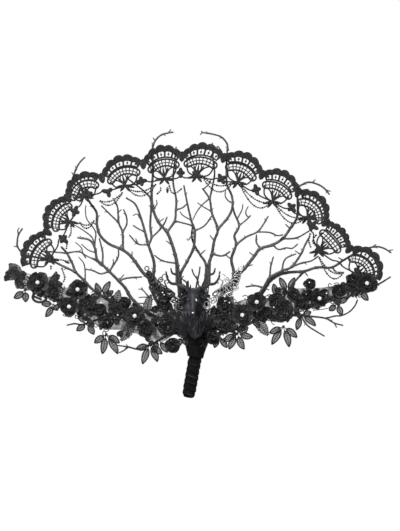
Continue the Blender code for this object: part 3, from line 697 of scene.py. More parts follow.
# smaller twigs that the CAD leaves out: node, then paths
SIDE_TWIGS = {
    "branch_far_left": [[(-228, 176), (-229, 182), (-227, 185)], [(-229, 160), (-234, 161)],
                        [(-120, 97), (-128, 108)], [(-185, 142), (-190, 147)],
                        [(-141, 117), (-141, 129), (-143, 139), (-149.5, 147)]],
    "branch_left": [[(-97, 116), (-90, 124)], [(-109, 128), (-104, 138), (-104, 144)],
                    [(-125, 144), (-134, 146)],
                    [(-97, 157), (-93, 163)],
                    [(-128, 158), (-127.5, 168), (-126.5, 176), (-128.5, 183), (-138, 196),
                     (-140, 206), (-139.5, 214)],
                    [(-129.5, 161.5), (-130, 169), (-134, 175), (-145, 183), (-156, 189.5)],
                    [(-115, 134), (-120, 136), (-126.5, 142), (-142.5, 151), (-145, 158.5),
                     (-153, 166)],
                    [(-127, 152.5), (-136.5, 156), (-145, 163.5)]],
    "branch_mid_left": [[(-155.5, 252), (-159, 258)], [(-80, 146), (-80, 154)],
                        [(-126, 189), (-133, 193)],
                        [(-99, 205), (-94, 209)]],
    "branch_inner_left": [[(-58, 95), (-66, 104), (-71, 105)], [(-66, 104), (-67, 107)],
                          [(-56, 94), (-64, 94.5), (-71, 94)], [(-64, 86), (-78, 87)],
                          [(-55, 205), (-49, 211)], [(-67, 194), (-73, 203), (-78, 201)],
                          [(-72, 164), (-75, 171)]],
    "branch_centre_left": [[(-53, 292), (-50, 298), (-52, 302)], [(-32, 308.5), (-29, 313)],
                           [(-27, 162), (-35, 168)], [(-52, 209), (-47, 216), (-48, 221)],
                           [(-45, 192), (-38, 197)], [(-19, 117.5), (-12, 122)]],
    "branch_cross_left": [[(-2.5, 195), (-13, 201), (-17, 206)], [(2, 181), (-6, 169), (-8, 171)],
                          [(20, 222), (12, 215), (5, 206), (0, 196)], [(-17, 122), (-11, 115)]],
    "branch_cross_right": [[(25, 206), (13, 213), (6, 218)], [(9, 150), (16, 156)]],
    "branch_centre_right": [[(44, 285), (47, 286.5)], [(12, 309), (11, 311)], [(12, 309), (9.6, 306)],
                            [(49, 218), (45, 221), (42, 226), (42, 235)],
                            [(13, 235), (20, 241), (23, 247)],
                            [(31, 286), (32, 291), (38, 284)], [(27.5, 168), (22, 175)]],
    "branch_inner_right": [[(57, 196), (60, 201), (64, 209), (65, 216)],
                           [(74, 200), (72, 199), (69, 203), (69, 207), (72, 213)],
                           [(53, 126), (60, 131)],
                           [(50, 144), (43, 149)]],
    "branch_mid_right": [[(138.5, 238), (138.5, 242)], [(157, 245), (160, 248.5)],
                         [(174, 235), (180, 233)],
                         [(140, 231), (145, 235), (151, 236)], [(69, 134), (78, 137)],
                         [(127, 184), (121, 190)],
                         [(80, 148), (74, 153)]],
    "branch_right": [[(140, 150), (133, 155)], [(80, 92), (73, 97)], [(60, 77), (66, 86)],
                     [(92, 107), (99, 104)]],
    "branch_far_right": [[(234, 160), (239, 163.5)], [(255, 155), (261, 156.5)],
                         [(181, 133.5), (187, 128)],
                         [(145, 128.5), (150, 122)], [(196, 142.5), (190, 146)]],
    "branch_low_right": [[(124, 102), (118, 108)]],
    "twig_low_right": [[(184, 61), (187, 55)]],
}
THORN_SPACING = 27.0
# the looks' stems are this much thicker than the CAD's, so that their flutes don't cut into them
STOUTER = 1.08
SIDE_TWIG_RADII = (1.0, 0.62)


def at_hub(point):
    """Slides a stem's lower end along its bearing into the rim of the stem hub."""
    bearing = Vector(point) - Vector(HUB_CENTRE)
    return tuple(Vector(HUB_CENTRE) + bearing.normalized() * (HUB_RADIUS - 2))


def grow(shape, points, layer, first, last, rng, thorns=True):
    """One twig: a tapering, slightly crooked and fluted stem with thorns and bud rings."""
    path = smooth([(x, layer, z) for x, z in points], 1.6)
    length = run_length(path)
    radius = (first + (last - first) * length / length[-1]) * STOUTER
    count = len(path)
    wander = np.cumsum([rng.uniform(-1, 1) for _ in range(count)])
    wander = (wander - np.linspace(wander[0], wander[-1], count)) * 0.05
    path[:, 1] += np.clip(wander, -0.5, 0.5)
    buds = []
    place = THORN_SPACING * rng.uniform(0.4, 0.9)
    while thorns and place < length[-1] - 3:
        buds.append((place, rng.choice((-1, 1)), rng.uniform(1.2, 3.0), rng.uniform(-0.4, 0.5)))
        place += THORN_SPACING * rng.uniform(0.6, 1.4)
    swelling = np.ones(count)
    for place, _, _, _ in buds:
        swelling += 0.22 * np.exp(-((length - place) / 1.5) ** 2)
    swelling += 0.05 * np.sin(length * 0.9 + rng.uniform(0, 6))
    shape.tube(path, radius * swelling, sides=9, ridge=0.07)
    ahead = unit(np.gradient(path, axis=0))
    for place, turn, reach, lift in buds:
        i = int(np.searchsorted(length, place))
        side = np.cross(ahead[i], TOWARDS_VIEWER) * turn
        base = path[i]
        tip = base + side * (radius[i] + reach * 0.75) + ahead[i] * reach + np.array([0, -lift, 0])
        middle = base + side * radius[i] * 0.9 + ahead[i] * reach * 0.3
        thorn = smooth([base, middle, tip], 0.9)
        shape.tube(thorn, np.linspace(0.85, 0.38, len(thorn)), sides=6)


def make_branches():
    """One piece of bark for each branch and each loose twig of the CAD."""
    for number, (name, layer, paths) in enumerate(BRANCHES):
        rng = random.Random(100 + number)
        shape = Shape()
        for i, (first, last, points) in enumerate(paths):
            if i == 0 and name.startswith("branch"):
                points = [at_hub(points[0])] + points[1:]
            elif i:
                flare = smooth([(x, layer, z) for x, z in points[:2]], 1.2)[:5]
                shape.tube(flare, np.linspace(first * 1.7, first * 1.02, len(flare)), sides=8)
            grow(shape, points, layer, first, last, rng)
        for points in SIDE_TWIGS.get(name, []):
            grow(shape, points, layer, *SIDE_TWIG_RADII, rng, thorns=False)
        piece(shape, name + "_bark", "branch", [name])


# ---------------------------------------------------------------- lace trim

LACE_VALLEYS = [(-222, 134), (-192, 181), (-165, 226), (-119, 253), (-65, 271), (-14, 281),
                (41, 279), (91, 257), (138, 234), (175, 194), (205, 160), (243, 116)]
LACE_PEAKS = [(-218, 166), (-190, 212), (-150, 255), (-96, 278.5), (-40, 292), (15, 295),
              (69, 283), (120, 259), (168, 226), (198, 181), (232, 157)]
MOTIF_CENTRES = [(-186, 145), (-160, 193), (-141, 226), (-88, 240), (-37, 249), (5, 252),
                 (58, 244), (103, 219), (148, 198), (163, 155), (213, 125)]
# the little flowers between motifs: centre, petal length, turn in degrees, petals
LACE_FLOWERS = [
    ((-168, 170), 8, 50, 4), ((-153, 206), 8, -20, 4), ((-110, 231), 9, 45, 3), ((-67, 245), 8, 100, 4),
    ((37, 248), 8, 30, 4), ((82, 234), 8, 15, 4), ((128, 211), 8, 40, 4), ((155, 187), 9, 60, 4),
    ((-186, 146), 7, 10, 4), ((213, 127), 7, 30, 4), ((-16, 256), 7, 0, 4), ((163, 157), 7, 20, 4),
    ((-135, 228), 7, 30, 4), ((5, 254), 7, 60, 4),
]
# a lace cord's depth over its width
LACE_FLAT = 0.75
# the solid edge: small lobes in a scallop, its width, and what the lobes add to it on average, mm
LOBES = 5
EDGE_WIDTH = 7.6
LOBE_MEAN = 0.9
# the eyelets: their dots, the foot and top of each dot's thread, the top of the pillars between them
EYELET_RHO = 0.755
EYELET_FOOT = 0.67
EYELET_TOP = 0.85
PILLAR_TOP = 0.86
EYELET_SPREAD = 0.06
# the arc under the eyelets: its place, and how much further out its ends lie
ARC_RHO = 0.66
ARC_SPREAD = 0.07
# the ladder band: its middle, its lower and upper edge, its bow, and half its width, mm
LADDER_RHO = 0.49
LADDER_LOW = 0.41
LADDER_HIGH = 0.6
LADDER_BOW = 0.07
LADDER_HALF = 4.2
BAR_SPACING = 4.1


class Scallop:
    """Places lace in one scallop: u runs from its left valley to its right one, rho from the motif's
    centre to the outer edge."""

    def __init__(self, left, right, peak, centre):
        self.centre = np.array(centre, dtype=float)
        arms = [np.array(point, dtype=float) - self.centre for point in (left, peak, right)]
        angles = [math.atan2(arm[1], arm[0]) % (2 * math.pi) for arm in arms]
        if angles[2] > angles[0]:
            angles[2] -= 2 * math.pi
        if angles[1] > angles[0]:
            angles[1] -= 2 * math.pi
        self.start = angles[0]
        self.sweep = angles[2] - angles[0]
        self.peak = min(0.75, max(0.25, (angles[1] - angles[0]) / self.sweep))
        self.arms = [np.linalg.norm(arm) for arm in arms]

    def reach(self, u):
        """Distance from the motif's centre to the outer edge, before the lobes are added."""
        u = np.clip(u, 0, 1)
        left, peak, right = self.arms
        straight = left + (right - left) * u
        rise = peak - (left + (right - left) * self.peak) - 2.0
        bent = np.where(u < self.peak, u / self.peak, (1 - u) / (1 - self.peak))
        return straight + rise * np.sin(bent * math.pi / 2) ** 0.8

    def place(self, u, rho, y=LACE_Y, outward=0.0, spread=0.0):
        """Spread is how much further out the two ends lie than the middle."""
        u = np.asarray(u, dtype=float)
        rho = rho + spread * (2 * u - 1) ** 2
        angle = self.start + self.sweep * u
        distance = self.reach(u) * rho + outward
        x = self.centre[0] + distance * np.cos(angle)
        z = self.centre[1] + distance * np.sin(angle)
        return np.stack([x, np.broadcast_to(y, x.shape), z], axis=-1)


def lobes(u):
    """Height of the scalloped outline's small lobes; the middle one is the largest."""
    u = np.clip(u, 0, 1)
    size = 1.2 + 2.6 * np.sin(math.pi * u) ** 1.5
    return size * np.abs(np.sin(math.pi * LOBES * u)) ** 0.6 - 1.2


def satin_edge(shape, scallop):
    """The solid embroidered edge, stitched across its width, wider where two scallops meet."""
    u = np.linspace(0, 1, 141)
    valley = np.exp(-(u / 0.06) ** 2) + np.exp(-((1 - u) / 0.06) ** 2)
    waves = np.abs(np.sin(math.pi * LOBES * u))
    width = EDGE_WIDTH + 7.0 * valley - 1.2 * waves
    shares = np.array([0, 0.06, 0.2, 0.4, 0.6, 0.8, 0.94, 1.0])
    rows = []
    stitches = 0.16 * np.cos(u * math.pi * 2 * 58)
    for share in shares:
        crown = math.sin(math.pi * min(1, max(0, share))) ** 0.5
        outward = lobes(u) * share - width * (1 - share)
        y = LACE_Y - 0.35 - 0.75 * crown - stitches * crown - 0.25 * waves * share
        rows.append(scallop.place(u, 1.0, y, outward))
    grid = np.stack(rows, axis=1)
    shape.slab(grid, 0.9, normals=TOWARDS_VIEWER, tone=0.25)
    rim = scallop.place(u, 1.0, LACE_Y - 0.6, lobes(u) - 0.3)
    shape.cut += run_length(rim)[-1] * (EDGE_WIDTH + LOBE_MEAN)
    shape.tube(rim, 0.65 + 0.08 * np.cos(u * math.pi * 2 * 80), sides=6, tone=0.35)
    # the thread arcs get a high tone: painted highlights
    for inset, tone in ((1.9, 0.9), (3.7, 0.8)):
        for lobe in range(LOBES):
            span = np.linspace((lobe + 0.14) / LOBES, (lobe + 0.86) / LOBES, 16)
            arch = scallop.place(span, 1.0, LACE_Y - 1.35, lobes(span) * (1 - inset / 9) - inset)
            shape.tube(arch, 0.36, sides=5, flat=0.8, tone=tone)


def cord(shape, path, radius, sides=5):
    shape.tube(path, radius, sides=sides, flat=LACE_FLAT, tone=0.3)


def lace_cords(shape, scallop):
    """Eyelets, ladder band, spokes and arches inside one scallop."""
    cord(shape, scallop.place(np.linspace(0.02, 0.98, 48), ARC_RHO, spread=ARC_SPREAD), 1.15)
    for lobe in range(LOBES):
        middle = (lobe + 0.5) / LOBES
        dot = scallop.place(middle, EYELET_RHO, spread=EYELET_SPREAD)
        shape.ball(dot, (1.5, 0.8, 1.5), segments=8, rings=4)
        rise = np.linspace(EYELET_FOOT, EYELET_TOP, 4)
        cord(shape, scallop.place(np.full(4, middle), rise, spread=EYELET_SPREAD), 0.36, 4)
        if lobe:
            rise = np.linspace(EYELET_FOOT, PILLAR_TOP, 4)
            cord(shape, scallop.place(np.full(4, lobe / LOBES), rise, spread=EYELET_SPREAD), 1.25, 6)

    spine = scallop.place(np.linspace(-0.05, 1.05, 46), LADDER_RHO, spread=LADDER_BOW)
    along = unit(np.gradient(spine, axis=0))
    outward = unit(np.cross(along, TOWARDS_VIEWER))
    turn = np.linspace(0, math.pi, 9)[1:-1, None]
    caps = [end + LADDER_HALF * (np.cos(turn) * side + np.sin(turn) * ahead)
            for end, side, ahead in ((spine[-1], outward[-1], along[-1]),
                                     (spine[0], -outward[0], -along[0]))]
    upper = spine + outward * LADDER_HALF
    lower = spine - outward * LADDER_HALF
    outline = np.concatenate([upper, caps[0], lower[::-1], caps[1], upper[:2]])
    cord(shape, outline, 1.25)
    cord(shape, spine, 0.7)
    length = np.linalg.norm(np.diff(spine, axis=0), axis=1).sum()
    count = max(6, int(length / BAR_SPACING))
    for bar in range(count + 1):
        at = round(bar * (len(spine) - 1) / count)
        cord(shape, [spine[at] + outward[at] * LADDER_HALF * share for share in (-1, 0, 1)], 0.75)
    for bar in range(1, 6):
        reach = np.linspace(LADDER_HIGH, ARC_RHO, 3)
        cord(shape, scallop.place(np.full(3, bar / 6), reach, spread=ARC_SPREAD), 0.45, 4)

    heart = scallop.place(0.5, 0.0)
    for side in (-1, 1):
        # each spoke: its radius, then how far aside and how far out it passes on its way to the heart
        for radius, *route in ((1.0, (0.53, LADDER_LOW + LADDER_BOW), (0.42, 0.33), (0.36, 0.15)),
                               (0.85, (0.1, LADDER_LOW), (0.24, 0.26), (0.22, 0.12)),
                               (1.1, (0.6, LADDER_LOW + LADDER_BOW + 0.1), (0.85, 0.36), (1.0, 0.17))):
            passed = [scallop.place(0.5 + side * aside, rho) for aside, rho in route]
            cord(shape, smooth([*passed, heart], 1.5), radius)
        petal(shape, scallop.place(0.5 + side * 0.3, 0.05), scallop.place(0.5 + side * 0.3, 0.37), 1.6)
        for drop_deg, length in ((14, 13.0), (52, 10.5)):
            angle = math.radians(-drop_deg if side > 0 else 180 + drop_deg)
            tip = heart + np.array([math.cos(angle), -0.03, math.sin(angle)]) * length
            petal(shape, heart, tip, 1.9)
    petal(shape, scallop.place(0.5, 0.02), scallop.place(0.5, 0.36), 1.4)
    shape.ball(heart + np.array([0, -0.6, 0]), (1.7, 1.0, 1.7), segments=10, rings=5)


# the share of its length times its width that a petal or leaf is cut to
PETAL_SHARE = 0.8


def petal(shape, base, tip, half_width, lift=0.8, columns=5, tone=0.5):
    """A small satin petal, stitched lengthways, from base to tip."""
    base = np.array(base, dtype=float)
    tip = np.array(tip, dtype=float)
    shape.cut += 2 * half_width * math.dist(base, tip) * PETAL_SHARE
    side = unit(np.cross(tip - base, TOWARDS_VIEWER))
    rows = []
    for share in np.linspace(0, 1, 9):
        width = 0.3
        if 0 < share < 1:
            width = half_width * (0.25 + 0.75 * math.sin(math.pi * share ** 0.8) ** 0.7)
        row = []
        for across in np.linspace(-1, 1, columns):
            rise = lift * (1 - across ** 2) * math.sin(math.pi * min(0.98, share + 0.02)) ** 0.5
            row.append(base + (tip - base) * share + side * across * width + np.array([0, -rise, 0]))
        rows.append(row)
    shape.slab(rows, 0.5, normals=TOWARDS_VIEWER, tone=tone)


def lace_flower(shape, centre, length, turn_deg, petals, y=LACE_Y - 1.0, tone=0.35, columns=7):
    """Satin petals round a small knot, every other one shorter."""
    middle = np.array([centre[0], y, centre[1]])
    for number in range(petals):
        angle = math.radians(turn_deg + 360 * number / petals)
        reach = length * (1.0 if number % 2 else 0.82)
        tip = middle + np.array([math.cos(angle), 0, math.sin(angle)]) * reach
        petal(shape, middle, tip, 2.4 + 0.06 * length, 1.0, columns, tone)
    shape.ball(middle + np.array([0, -0.7, 0]), (1.5, 0.9, 1.5))


def make_lace():
    """The trim: solid edge, corded net, and the flowers and petals sewn on it."""
    edge = Shape()
    cords = Shape()
    flowers = Shape()
    for left, right, peak, centre in zip(LACE_VALLEYS, LACE_VALLEYS[1:], LACE_PEAKS, MOTIF_CENTRES):
        scallop = Scallop(left, right, peak, centre)
        satin_edge(edge, scallop)
        lace_cords(cords, scallop)
    for centre, length, turn_deg, petals in LACE_FLOWERS:
        lace_flower(flowers, centre, length, turn_deg, petals)
    for valley, before, after in zip(LACE_VALLEYS[1:-1], MOTIF_CENTRES, MOTIF_CENTRES[1:]):
        top = np.array([valley[0], LACE_Y - 0.9, valley[1]])
        inner = np.array([(before[0] + after[0]) / 2, LACE_Y - 0.9, (before[1] + after[1]) / 2])
        inward = unit(inner - top)
        petal(flowers, top - inward * 3.0, top + inward * 11.0, 4.4, 1.0, 9, 0.15)
    for left, right in zip(MOTIF_CENTRES, MOTIF_CENTRES[1:]):
        a, b = np.array(left, dtype=float), np.array(right, dtype=float)
        middle = (a + b) / 2
        outward = np.array([-(b - a)[1], (b - a)[0]])
        outward = outward / np.linalg.norm(outward)
        path = smooth(at_depth([a, (a * 2 + b) / 3 - outward * 1.5, middle + outward * 1.0,
                                (a + b * 2) / 3 - outward * 1.5, b], LACE_Y + 0.3), 1.4)
        cord(cords, path, 1.05)
    trim = piece(edge, "lace_trim_satin_edge", "lace", ["lace_trim"])
    net = piece(cords, "lace_trim_cords", "lace", ["lace_trim"])
    sprigs = piece(flowers, "lace_trim_sprigs", "lace", ["lace_trim"])
    return trim, net, sprigs


# ---------------------------------------------------------------- strings of beads

# node, left end, right end, drops of the upper and lower string, as in the CAD
SWAGS = [
    ("swag_far_left", (-147, 192), (-128, 194), 5, 9),
    ("swag_left", (-121, 220), (-91, 231), 6, 11),
    ("swag_mid_left", (-84, 235), (-48, 241), 6, 12),
    ("swag_centre", (11, 253), (52, 244), 9, 17),
    ("swag_mid_right", (60, 243), (101, 218), 9, 18),
    ("swag_right", (105, 217), (147, 200), 9, 17),
    ("swag_far_right", (163, 147), (195, 127), 9, 17),
]
# strings and drops that hang inside the lace, sewn down at both ends
FIXED_STRINGS = [
    [(-31, 240), (-28, 231), (-24, 229.5), (-20, 231), (-14, 236)],
    [(-47, 228), (-42, 233), (-42, 238)],
    [(-158, 188), (-158, 178), (-161, 172)],
    [(-163, 165), (-164, 157)],
    [(-170, 133), (-168, 127), (-166, 120), (-168, 114)],
    [(-184, 136), (-184, 131)],
    [(-178, 144), (-170, 143), (-165, 141.5)],
    [(181, 133), (184, 128), (190, 127), (196, 127)],
    [(152, 178), (150, 168), (153, 158)],
    [(160, 176), (155, 168), (158, 162)],
]
BEAD_DROPS = [((-33, 237), (-33, 230)), ((-166, 141.5), (-160, 139))]
# mm
THREAD_DIAMETER = 0.6
BEAD_RADIUS = 1.2
BEAD_SPACING = 2.85


def string_beads(shape, path):
    """Seed beads threaded along a path; every fourth one is longer."""
    length = run_length(path)
    places = np.arange(BEAD_SPACING / 2, length[-1], BEAD_SPACING)
    for number, place in enumerate(places):
        spot = [np.interp(place, length, path[:, axis]) for axis in range(3)]
        size = BEAD_RADIUS * (1.3 if number % 4 == 0 else 1.08)
        shape.ball(spot, (size, size, size * 0.92), segments=7, rings=4)


def hanging(start, end, drop):
    """A string's path between its two ends, lowest halfway."""
    t = np.linspace(0, 1, 25)
    x = start[0] + (end[0] - start[0]) * t
    z = start[1] + (end[1] - start[1]) * t - drop * (1 - (2 * t - 1) ** 2)
    return at_depth(np.column_stack([x, z]), SWAG_Y)


def make_swags():
    """Two strings a swag: the thread is the cord, and its beads go with it."""
    for name, start, end, upper, lower in SWAGS:
        for label, drop in (("upper", upper), ("lower", lower)):
            path = hanging(start, end, drop)
            beads = Shape()
            string_beads(beads, path)
            strung = piece(beads, f"{name}_{label}_beads", "beads", [name], body=name)
            shape = Shape()
            shape.tube(path, THREAD_DIAMETER / 2, sides=6)
            thread = piece(shape, f"{name}_{label}_thread", "beads", body=name)


def make_fixed_beads():
    """The strings and drops that are sewn to the lace, on the fan's own body."""
    shape = Shape()
    for points in FIXED_STRINGS:
        path = smooth(at_depth(points, SWAG_Y), 1.0)
        string_beads(shape, path)
        shape.tube(path, THREAD_DIAMETER / 2, sides=5)
    for top, bottom in BEAD_DROPS:
        path = smooth(at_depth([top, bottom], SWAG_Y), 0.7)
        swell = 0.7 + 1.1 * np.sin(np.linspace(0.3, 2.9, len(path)))
        shape.tube(path, swell, sides=9)
    piece(shape, "lace_bead_drops", "beads")


# ---------------------------------------------------------------- garland

# upper and lower edges of the two backings, as in the CAD
BASE_EDGES = {
    "left": ([(-237, 137), (-226, 129), (-196, 122), (-178, 128), (-168, 112), (-150, 114),
              (-130, 102), (-100, 102), (-80, 84), (-50, 88), (-24, 78)],
             [(-243, 119), (-228, 115), (-219, 102), (-190, 94), (-165, 76), (-140, 62),
              (-114, 45), (-96, 46), (-72, 42), (-56, 32), (-38, 30), (-24, 42)]),
    "right": ([(24, 80), (46, 92), (66, 98), (86, 96), (110, 106), (134, 112), (165, 111),
               (195, 115), (228, 124)],
              [(24, 36), (40, 40), (58, 46), (74, 60), (92, 60), (117, 55), (140, 70), (164, 80),
               (190, 88), (226, 98), (243, 110)]),
}
# name, centre, radius, petals, turn, level: the first eight are CAD nodes, the others are smaller
FLOWERS = [
    ("far_left", (-200, 114), 16.0, 5, 90, 0),
    ("left_top", (-148.5, 105), 14.0, 5, 60, 0),
    ("left_low", (-159, 83), 13.5, 5, 20, 1),
    ("mid_left", (-75, 71), 15.0, 5, 75, 0),
    ("mid_right", (63.5, 72), 16.0, 5, 100, 0),
    ("right_top", (82, 89), 14.0, 5, 40, 1),
    ("right_low", (163, 93.5), 12.5, 8, 0, 0),
    ("far_right", (224, 113), 15.0, 5, 10, 0),
]
SMALL_FLOWERS = [
    ((-136, 86), 13, 5, 30), ((-59.5, 53.5), 14, 6, 10), ((139, 88), 11, 5, 50), ((151, 112), 9, 5, 0),
    ((-98, 78), 12, 5, 0), ((-180, 101), 11, 5, 70), ((-37, 84), 11, 5, 20), ((-34, 97), 9, 5, 60),
    ((40, 86), 11, 5, 10), ((108, 90), 12, 5, 35), ((188, 103), 10, 5, 15), ((206, 118), 10, 5, 45),
    ((-121, 78), 11, 5, 15), ((92, 74), 11, 5, 80), ((130, 98), 10, 5, 25),
]
ROSETTES = [((-112, 65), 11), ((-33, 56), 12), ((40, 66), 13), ((115, 78), 15), ((-26, 33), 10),
            ((26, 43), 9.5), ((-88, 88), 8), ((148, 97), 8)]
# lace leaves: hub, then tips; the first five are CAD nodes
LEAF_SPRAYS = [
    ("leaf_far_left", (-217, 104), [(-231, 94), (-216, 89), (-226, 116)]),
    ("leaf_low_left", (-112, 47), [(-127, 36), (-117, 22), (-97, 22), (-95, 36)]),
    ("leaf_mid_left", (-56, 34), [(-73, 29), (-65, 9), (-46, 12), (-40, 22)]),
    ("leaf_mid_right", (57, 48), [(77, 44), (71, 56), (47, 28), (66, 28), (40, 38)]),
    ("leaf_low_right", (117, 57), [(99, 49), (102, 34), (124, 31), (134, 43)]),
]
EXTRA_LEAVES = [
    ((-180, 86), [(-190, 70), (-195, 86), (-175, 78)], 3.6),
    ((-152, 72), [(-135, 63)], 3.4),
    ((-118, 95), [(-125, 113), (-107, 115), (-131, 98), (-103, 103)], 3.6),
    ((122, 100), [(112, 120), (131, 120), (108, 104)], 3.6),
    ((107, 95), [(104, 112)], 3.4),
    ((-137, 61), [(-128, 47), (-150, 52)], 3.6),
    ((140, 72), [(134, 53), (158, 58), (152, 76)], 3.4),
    ((186, 86), [(192, 72), (200, 95), (176, 78)], 3.4),
    ((216, 104), [(226, 91), (205, 96)], 3.6),
    ((-44, 40), [(-33, 24), (-52, 24)], 3.2),
    ((34, 44), [(44, 30), (28, 30)], 3.2),
    ((-34, 92), [(-40, 104), (-25, 101), (-45, 92)], 3.2),
    ((76, 70), [(86, 56), (92, 66)], 3.4),
    ((-14, 44), [(-20, 30), (-8, 33)], 3.4),
    ((12, 43), [(8, 31), (17, 31)], 3.2),
]
# long serrated leaves: base, tip, half width
SERRATED = [((-184, 105), (-176, 128), 5), ((-78, 64), (-93, 39), 7), ((-98, 76), (-95, 104), 7),
            ((82, 68), (97, 46), 7), ((-140, 78), (-124, 97), 6), ((150, 84), (176, 92), 5),
            ((-60, 74), (-54, 98), 5.5), ((46, 74), (50, 96), 5.5), ((-84, 74), (-110, 92), 6),
            ((196, 104), (212, 124), 5), ((-20, 60), (-50, 70), 6), ((30, 60), (58, 58), 6),
            ((-8, 56), (-24, 86), 6), ((-12, 62), (-38, 78), 5.5), ((12, 56), (28, 84), 6),
            ((-10, 50), (-28, 62), 6), ((12, 52), (32, 70), 6), ((14, 62), (21, 98), 4.5),
            ((-12, 64), (-17, 96), 4.5), ((-6, 48), (-20, 46), 5)]
STAR_LEAVES = [((-222, 124), (-243, 119), 6), ((-222, 126), (-237, 138), 6), ((-224, 122),
               (-226, 106), 5)]
# the stem's share of a lace leaf, and a long leaf's teeth on each side
STEM_SHARE = 0.22
TEETH = 7
# a flower's rings of petals: the share of its radius that each reaches
FLOWER_RINGS = (1.04, 0.5)
# a rosette's rings: reach as a share of its radius, petals, cup in mm
ROSETTE_RINGS = ((1.1, 6, 0.9), (0.82, 5, 1.9), (0.56, 4, 2.8), (0.32, 3, 3.4))
# length of organza gathered into each length of garland
GATHER = 1.3
# scraps of guipure: how many, and the shares that are flowers and, up to the second one, curls
FILLERS_PER_SIDE = 130
FILLER_FLOWERS = 0.4
FILLER_CURLS = 0.78
# an oval ring 49 x 3.4, a satin strip 30 x 6.4, three loops 30 x 3 and four cords 33 x 1.1, mm2
RIBBON_CUT = 49 * 3.4 + 30 * 6.4 + 3 * 30 * 3 + 4 * 33 * 1.1
SATIN_LOOPS = ([(198, 92), (203, 97), (209, 106), (205, 110), (201, 103), (200, 95)],
               [(-196, 92), (-206, 97), (-202, 103), (-190, 101)],
               [(214, 100), (217, 108), (213, 116), (219, 121)])
CORD_LOOPS = ([(155, 78), (165, 79), (175, 81), (182, 86)],
              [(-152, 74), (-160, 70), (-168, 72), (-156, 78)],
              [(-214, 112), (-206, 104), (-196, 106)],
              [(170, 96), (182, 97), (196, 101), (206, 98)])
SEQUINS = ((-118, 88), (-110, 62), (-97, 72), (-39, 101), (-37, 98), (-24.5, 81), (-48, 87), (8.5, 58),
           (32, 51), (41, 90), (47, 88), (104, 82), (-32, 57), (29, 45), (38, 43), (150, 114),
           (146, 99), (172, 100), (208, 95), (-138, 63))
SEQUIN_Y = -15.4


def leaf_axis(base, tip, y, bow=0.0, lift=0.0):
    """Points from base to tip that bow sideways and lift towards the viewer."""
    base, tip = np.array(base, dtype=float), np.array(tip, dtype=float)
    share = np.linspace(0, 1, 15)[:, None]
    side = np.array([-(tip - base)[1], (tip - base)[0]])
    flat = base + (tip - base) * share + side * bow * share * (1 - share) * 4
    return at_depth(flat, y - lift * (share[:, 0] ** 1.5))


def blade(shape, axis, half_width, thickness, cup, profile):
    """A leaf's or petal's blade along an axis; profile gives the share of its width along it."""
    side = unit(np.cross(np.gradient(axis, axis=0), TOWARDS_VIEWER))
    share = np.linspace(0, 1, len(axis))
    width = half_width * profile(share)
    shape.cut += 2 * half_width * run_length(axis)[-1] * PETAL_SHARE
    across = np.linspace(-1, 1, 7)
    rows = axis[:, None, :] + side[:, None, :] * (width[:, None] * across[None, :])[:, :, None]
    rows[:, :, 1] -= cup * (across[None, :] ** 2) * np.sin(share * math.pi)[:, None]
    shape.slab(rows, thickness, normals=TOWARDS_VIEWER)
    return side, width


def lens(share):
    """A lace leaf's width along it, as a share."""
    return np.maximum(0.04, np.sin(math.pi * share ** 0.85) ** 0.75)


def lace_leaf(shape, outline, base, tip, half_width, y, rng):
    """An embroidered leaf: a net blade, a corded edge, a midrib and slanting veins."""
    start = tuple(np.array(base) + (np.array(tip) - np.array(base)) * STEM_SHARE)
    axis = leaf_axis(start, tip, y, rng.uniform(-0.06, 0.06), rng.uniform(0.5, 2.0))
    side, width = blade(shape, axis, half_width, 0.3, 0.9, lens)
    share = np.linspace(0, 1, len(axis))
    for turn in (-1, 1):
        edge = axis + side * (width * turn)[:, None]
        edge[:, 1] -= 0.9 * np.sin(share * math.pi) + 0.15
        outline.tube(smooth(edge[::2], 0.9), 0.85, sides=6, flat=0.8, tone=0.25)
    rib = axis.copy()
    rib[:, 1] -= 0.25
    outline.tube(rib, np.linspace(0.55, 0.3, len(rib)), sides=5)
    outline.tube(smooth([(base[0], y, base[1]), tuple(rib[0])], 1.0), 0.6, sides=5)
    for i in range(2, len(axis) - 2, 2):
        for turn in (-1, 1):
            ahead = (axis[i + 1] - axis[i]) * 1.1
            end = axis[i] + side[i] * width[i] * turn * 0.95 + ahead
            end[1] -= 0.8
            outline.tube([rib[i], (rib[i] + end) / 2 + np.array([0, -0.1, 0]), end], 0.26, sides=4)


def serrated_leaf(shape, outline, base, tip, half_width, y, rng):
    """A long leaf with a saw-toothed outline, a midrib and veins."""

    def saw(share):
        body = np.sin(math.pi * np.clip(share, 0.02, 0.98) ** 0.8) ** 0.7
        return np.maximum(0.05, body * (0.82 + 0.25 * ((share * TEETH) % 1.0)))

    base_axis = leaf_axis(base, tip, y, rng.uniform(-0.08, 0.08), rng.uniform(1.0, 3.0))
    axis = smooth(base_axis[::2], math.dist(base, tip) / 42)
    side, width = blade(shape, axis, half_width, 0.35, 1.3, saw)
    rib = axis.copy()
    rib[:, 1] -= 0.3
    outline.tube(rib, np.linspace(0.8, 0.35, len(rib)), sides=5)
    for i in range(3, len(axis) - 3, 4):
        for turn in (-1, 1):
            end = axis[i] + side[i] * width[i] * turn * 0.9 + (axis[i + 1] - axis[i]) * 3
            end[1] -= 1.1
            outline.tube([rib[i], (rib[i] + end) / 2 + np.array([0, -0.1, 0]), end], 0.4, sides=4)
    for turn in (-1, 1):
        edge = axis + side * (width * turn)[:, None]
        edge[:, 1] -= 1.3 * np.sin(np.linspace(0, 1, len(axis)) * math.pi) + 0.1
        outline.tube(edge, 0.45, sides=4)


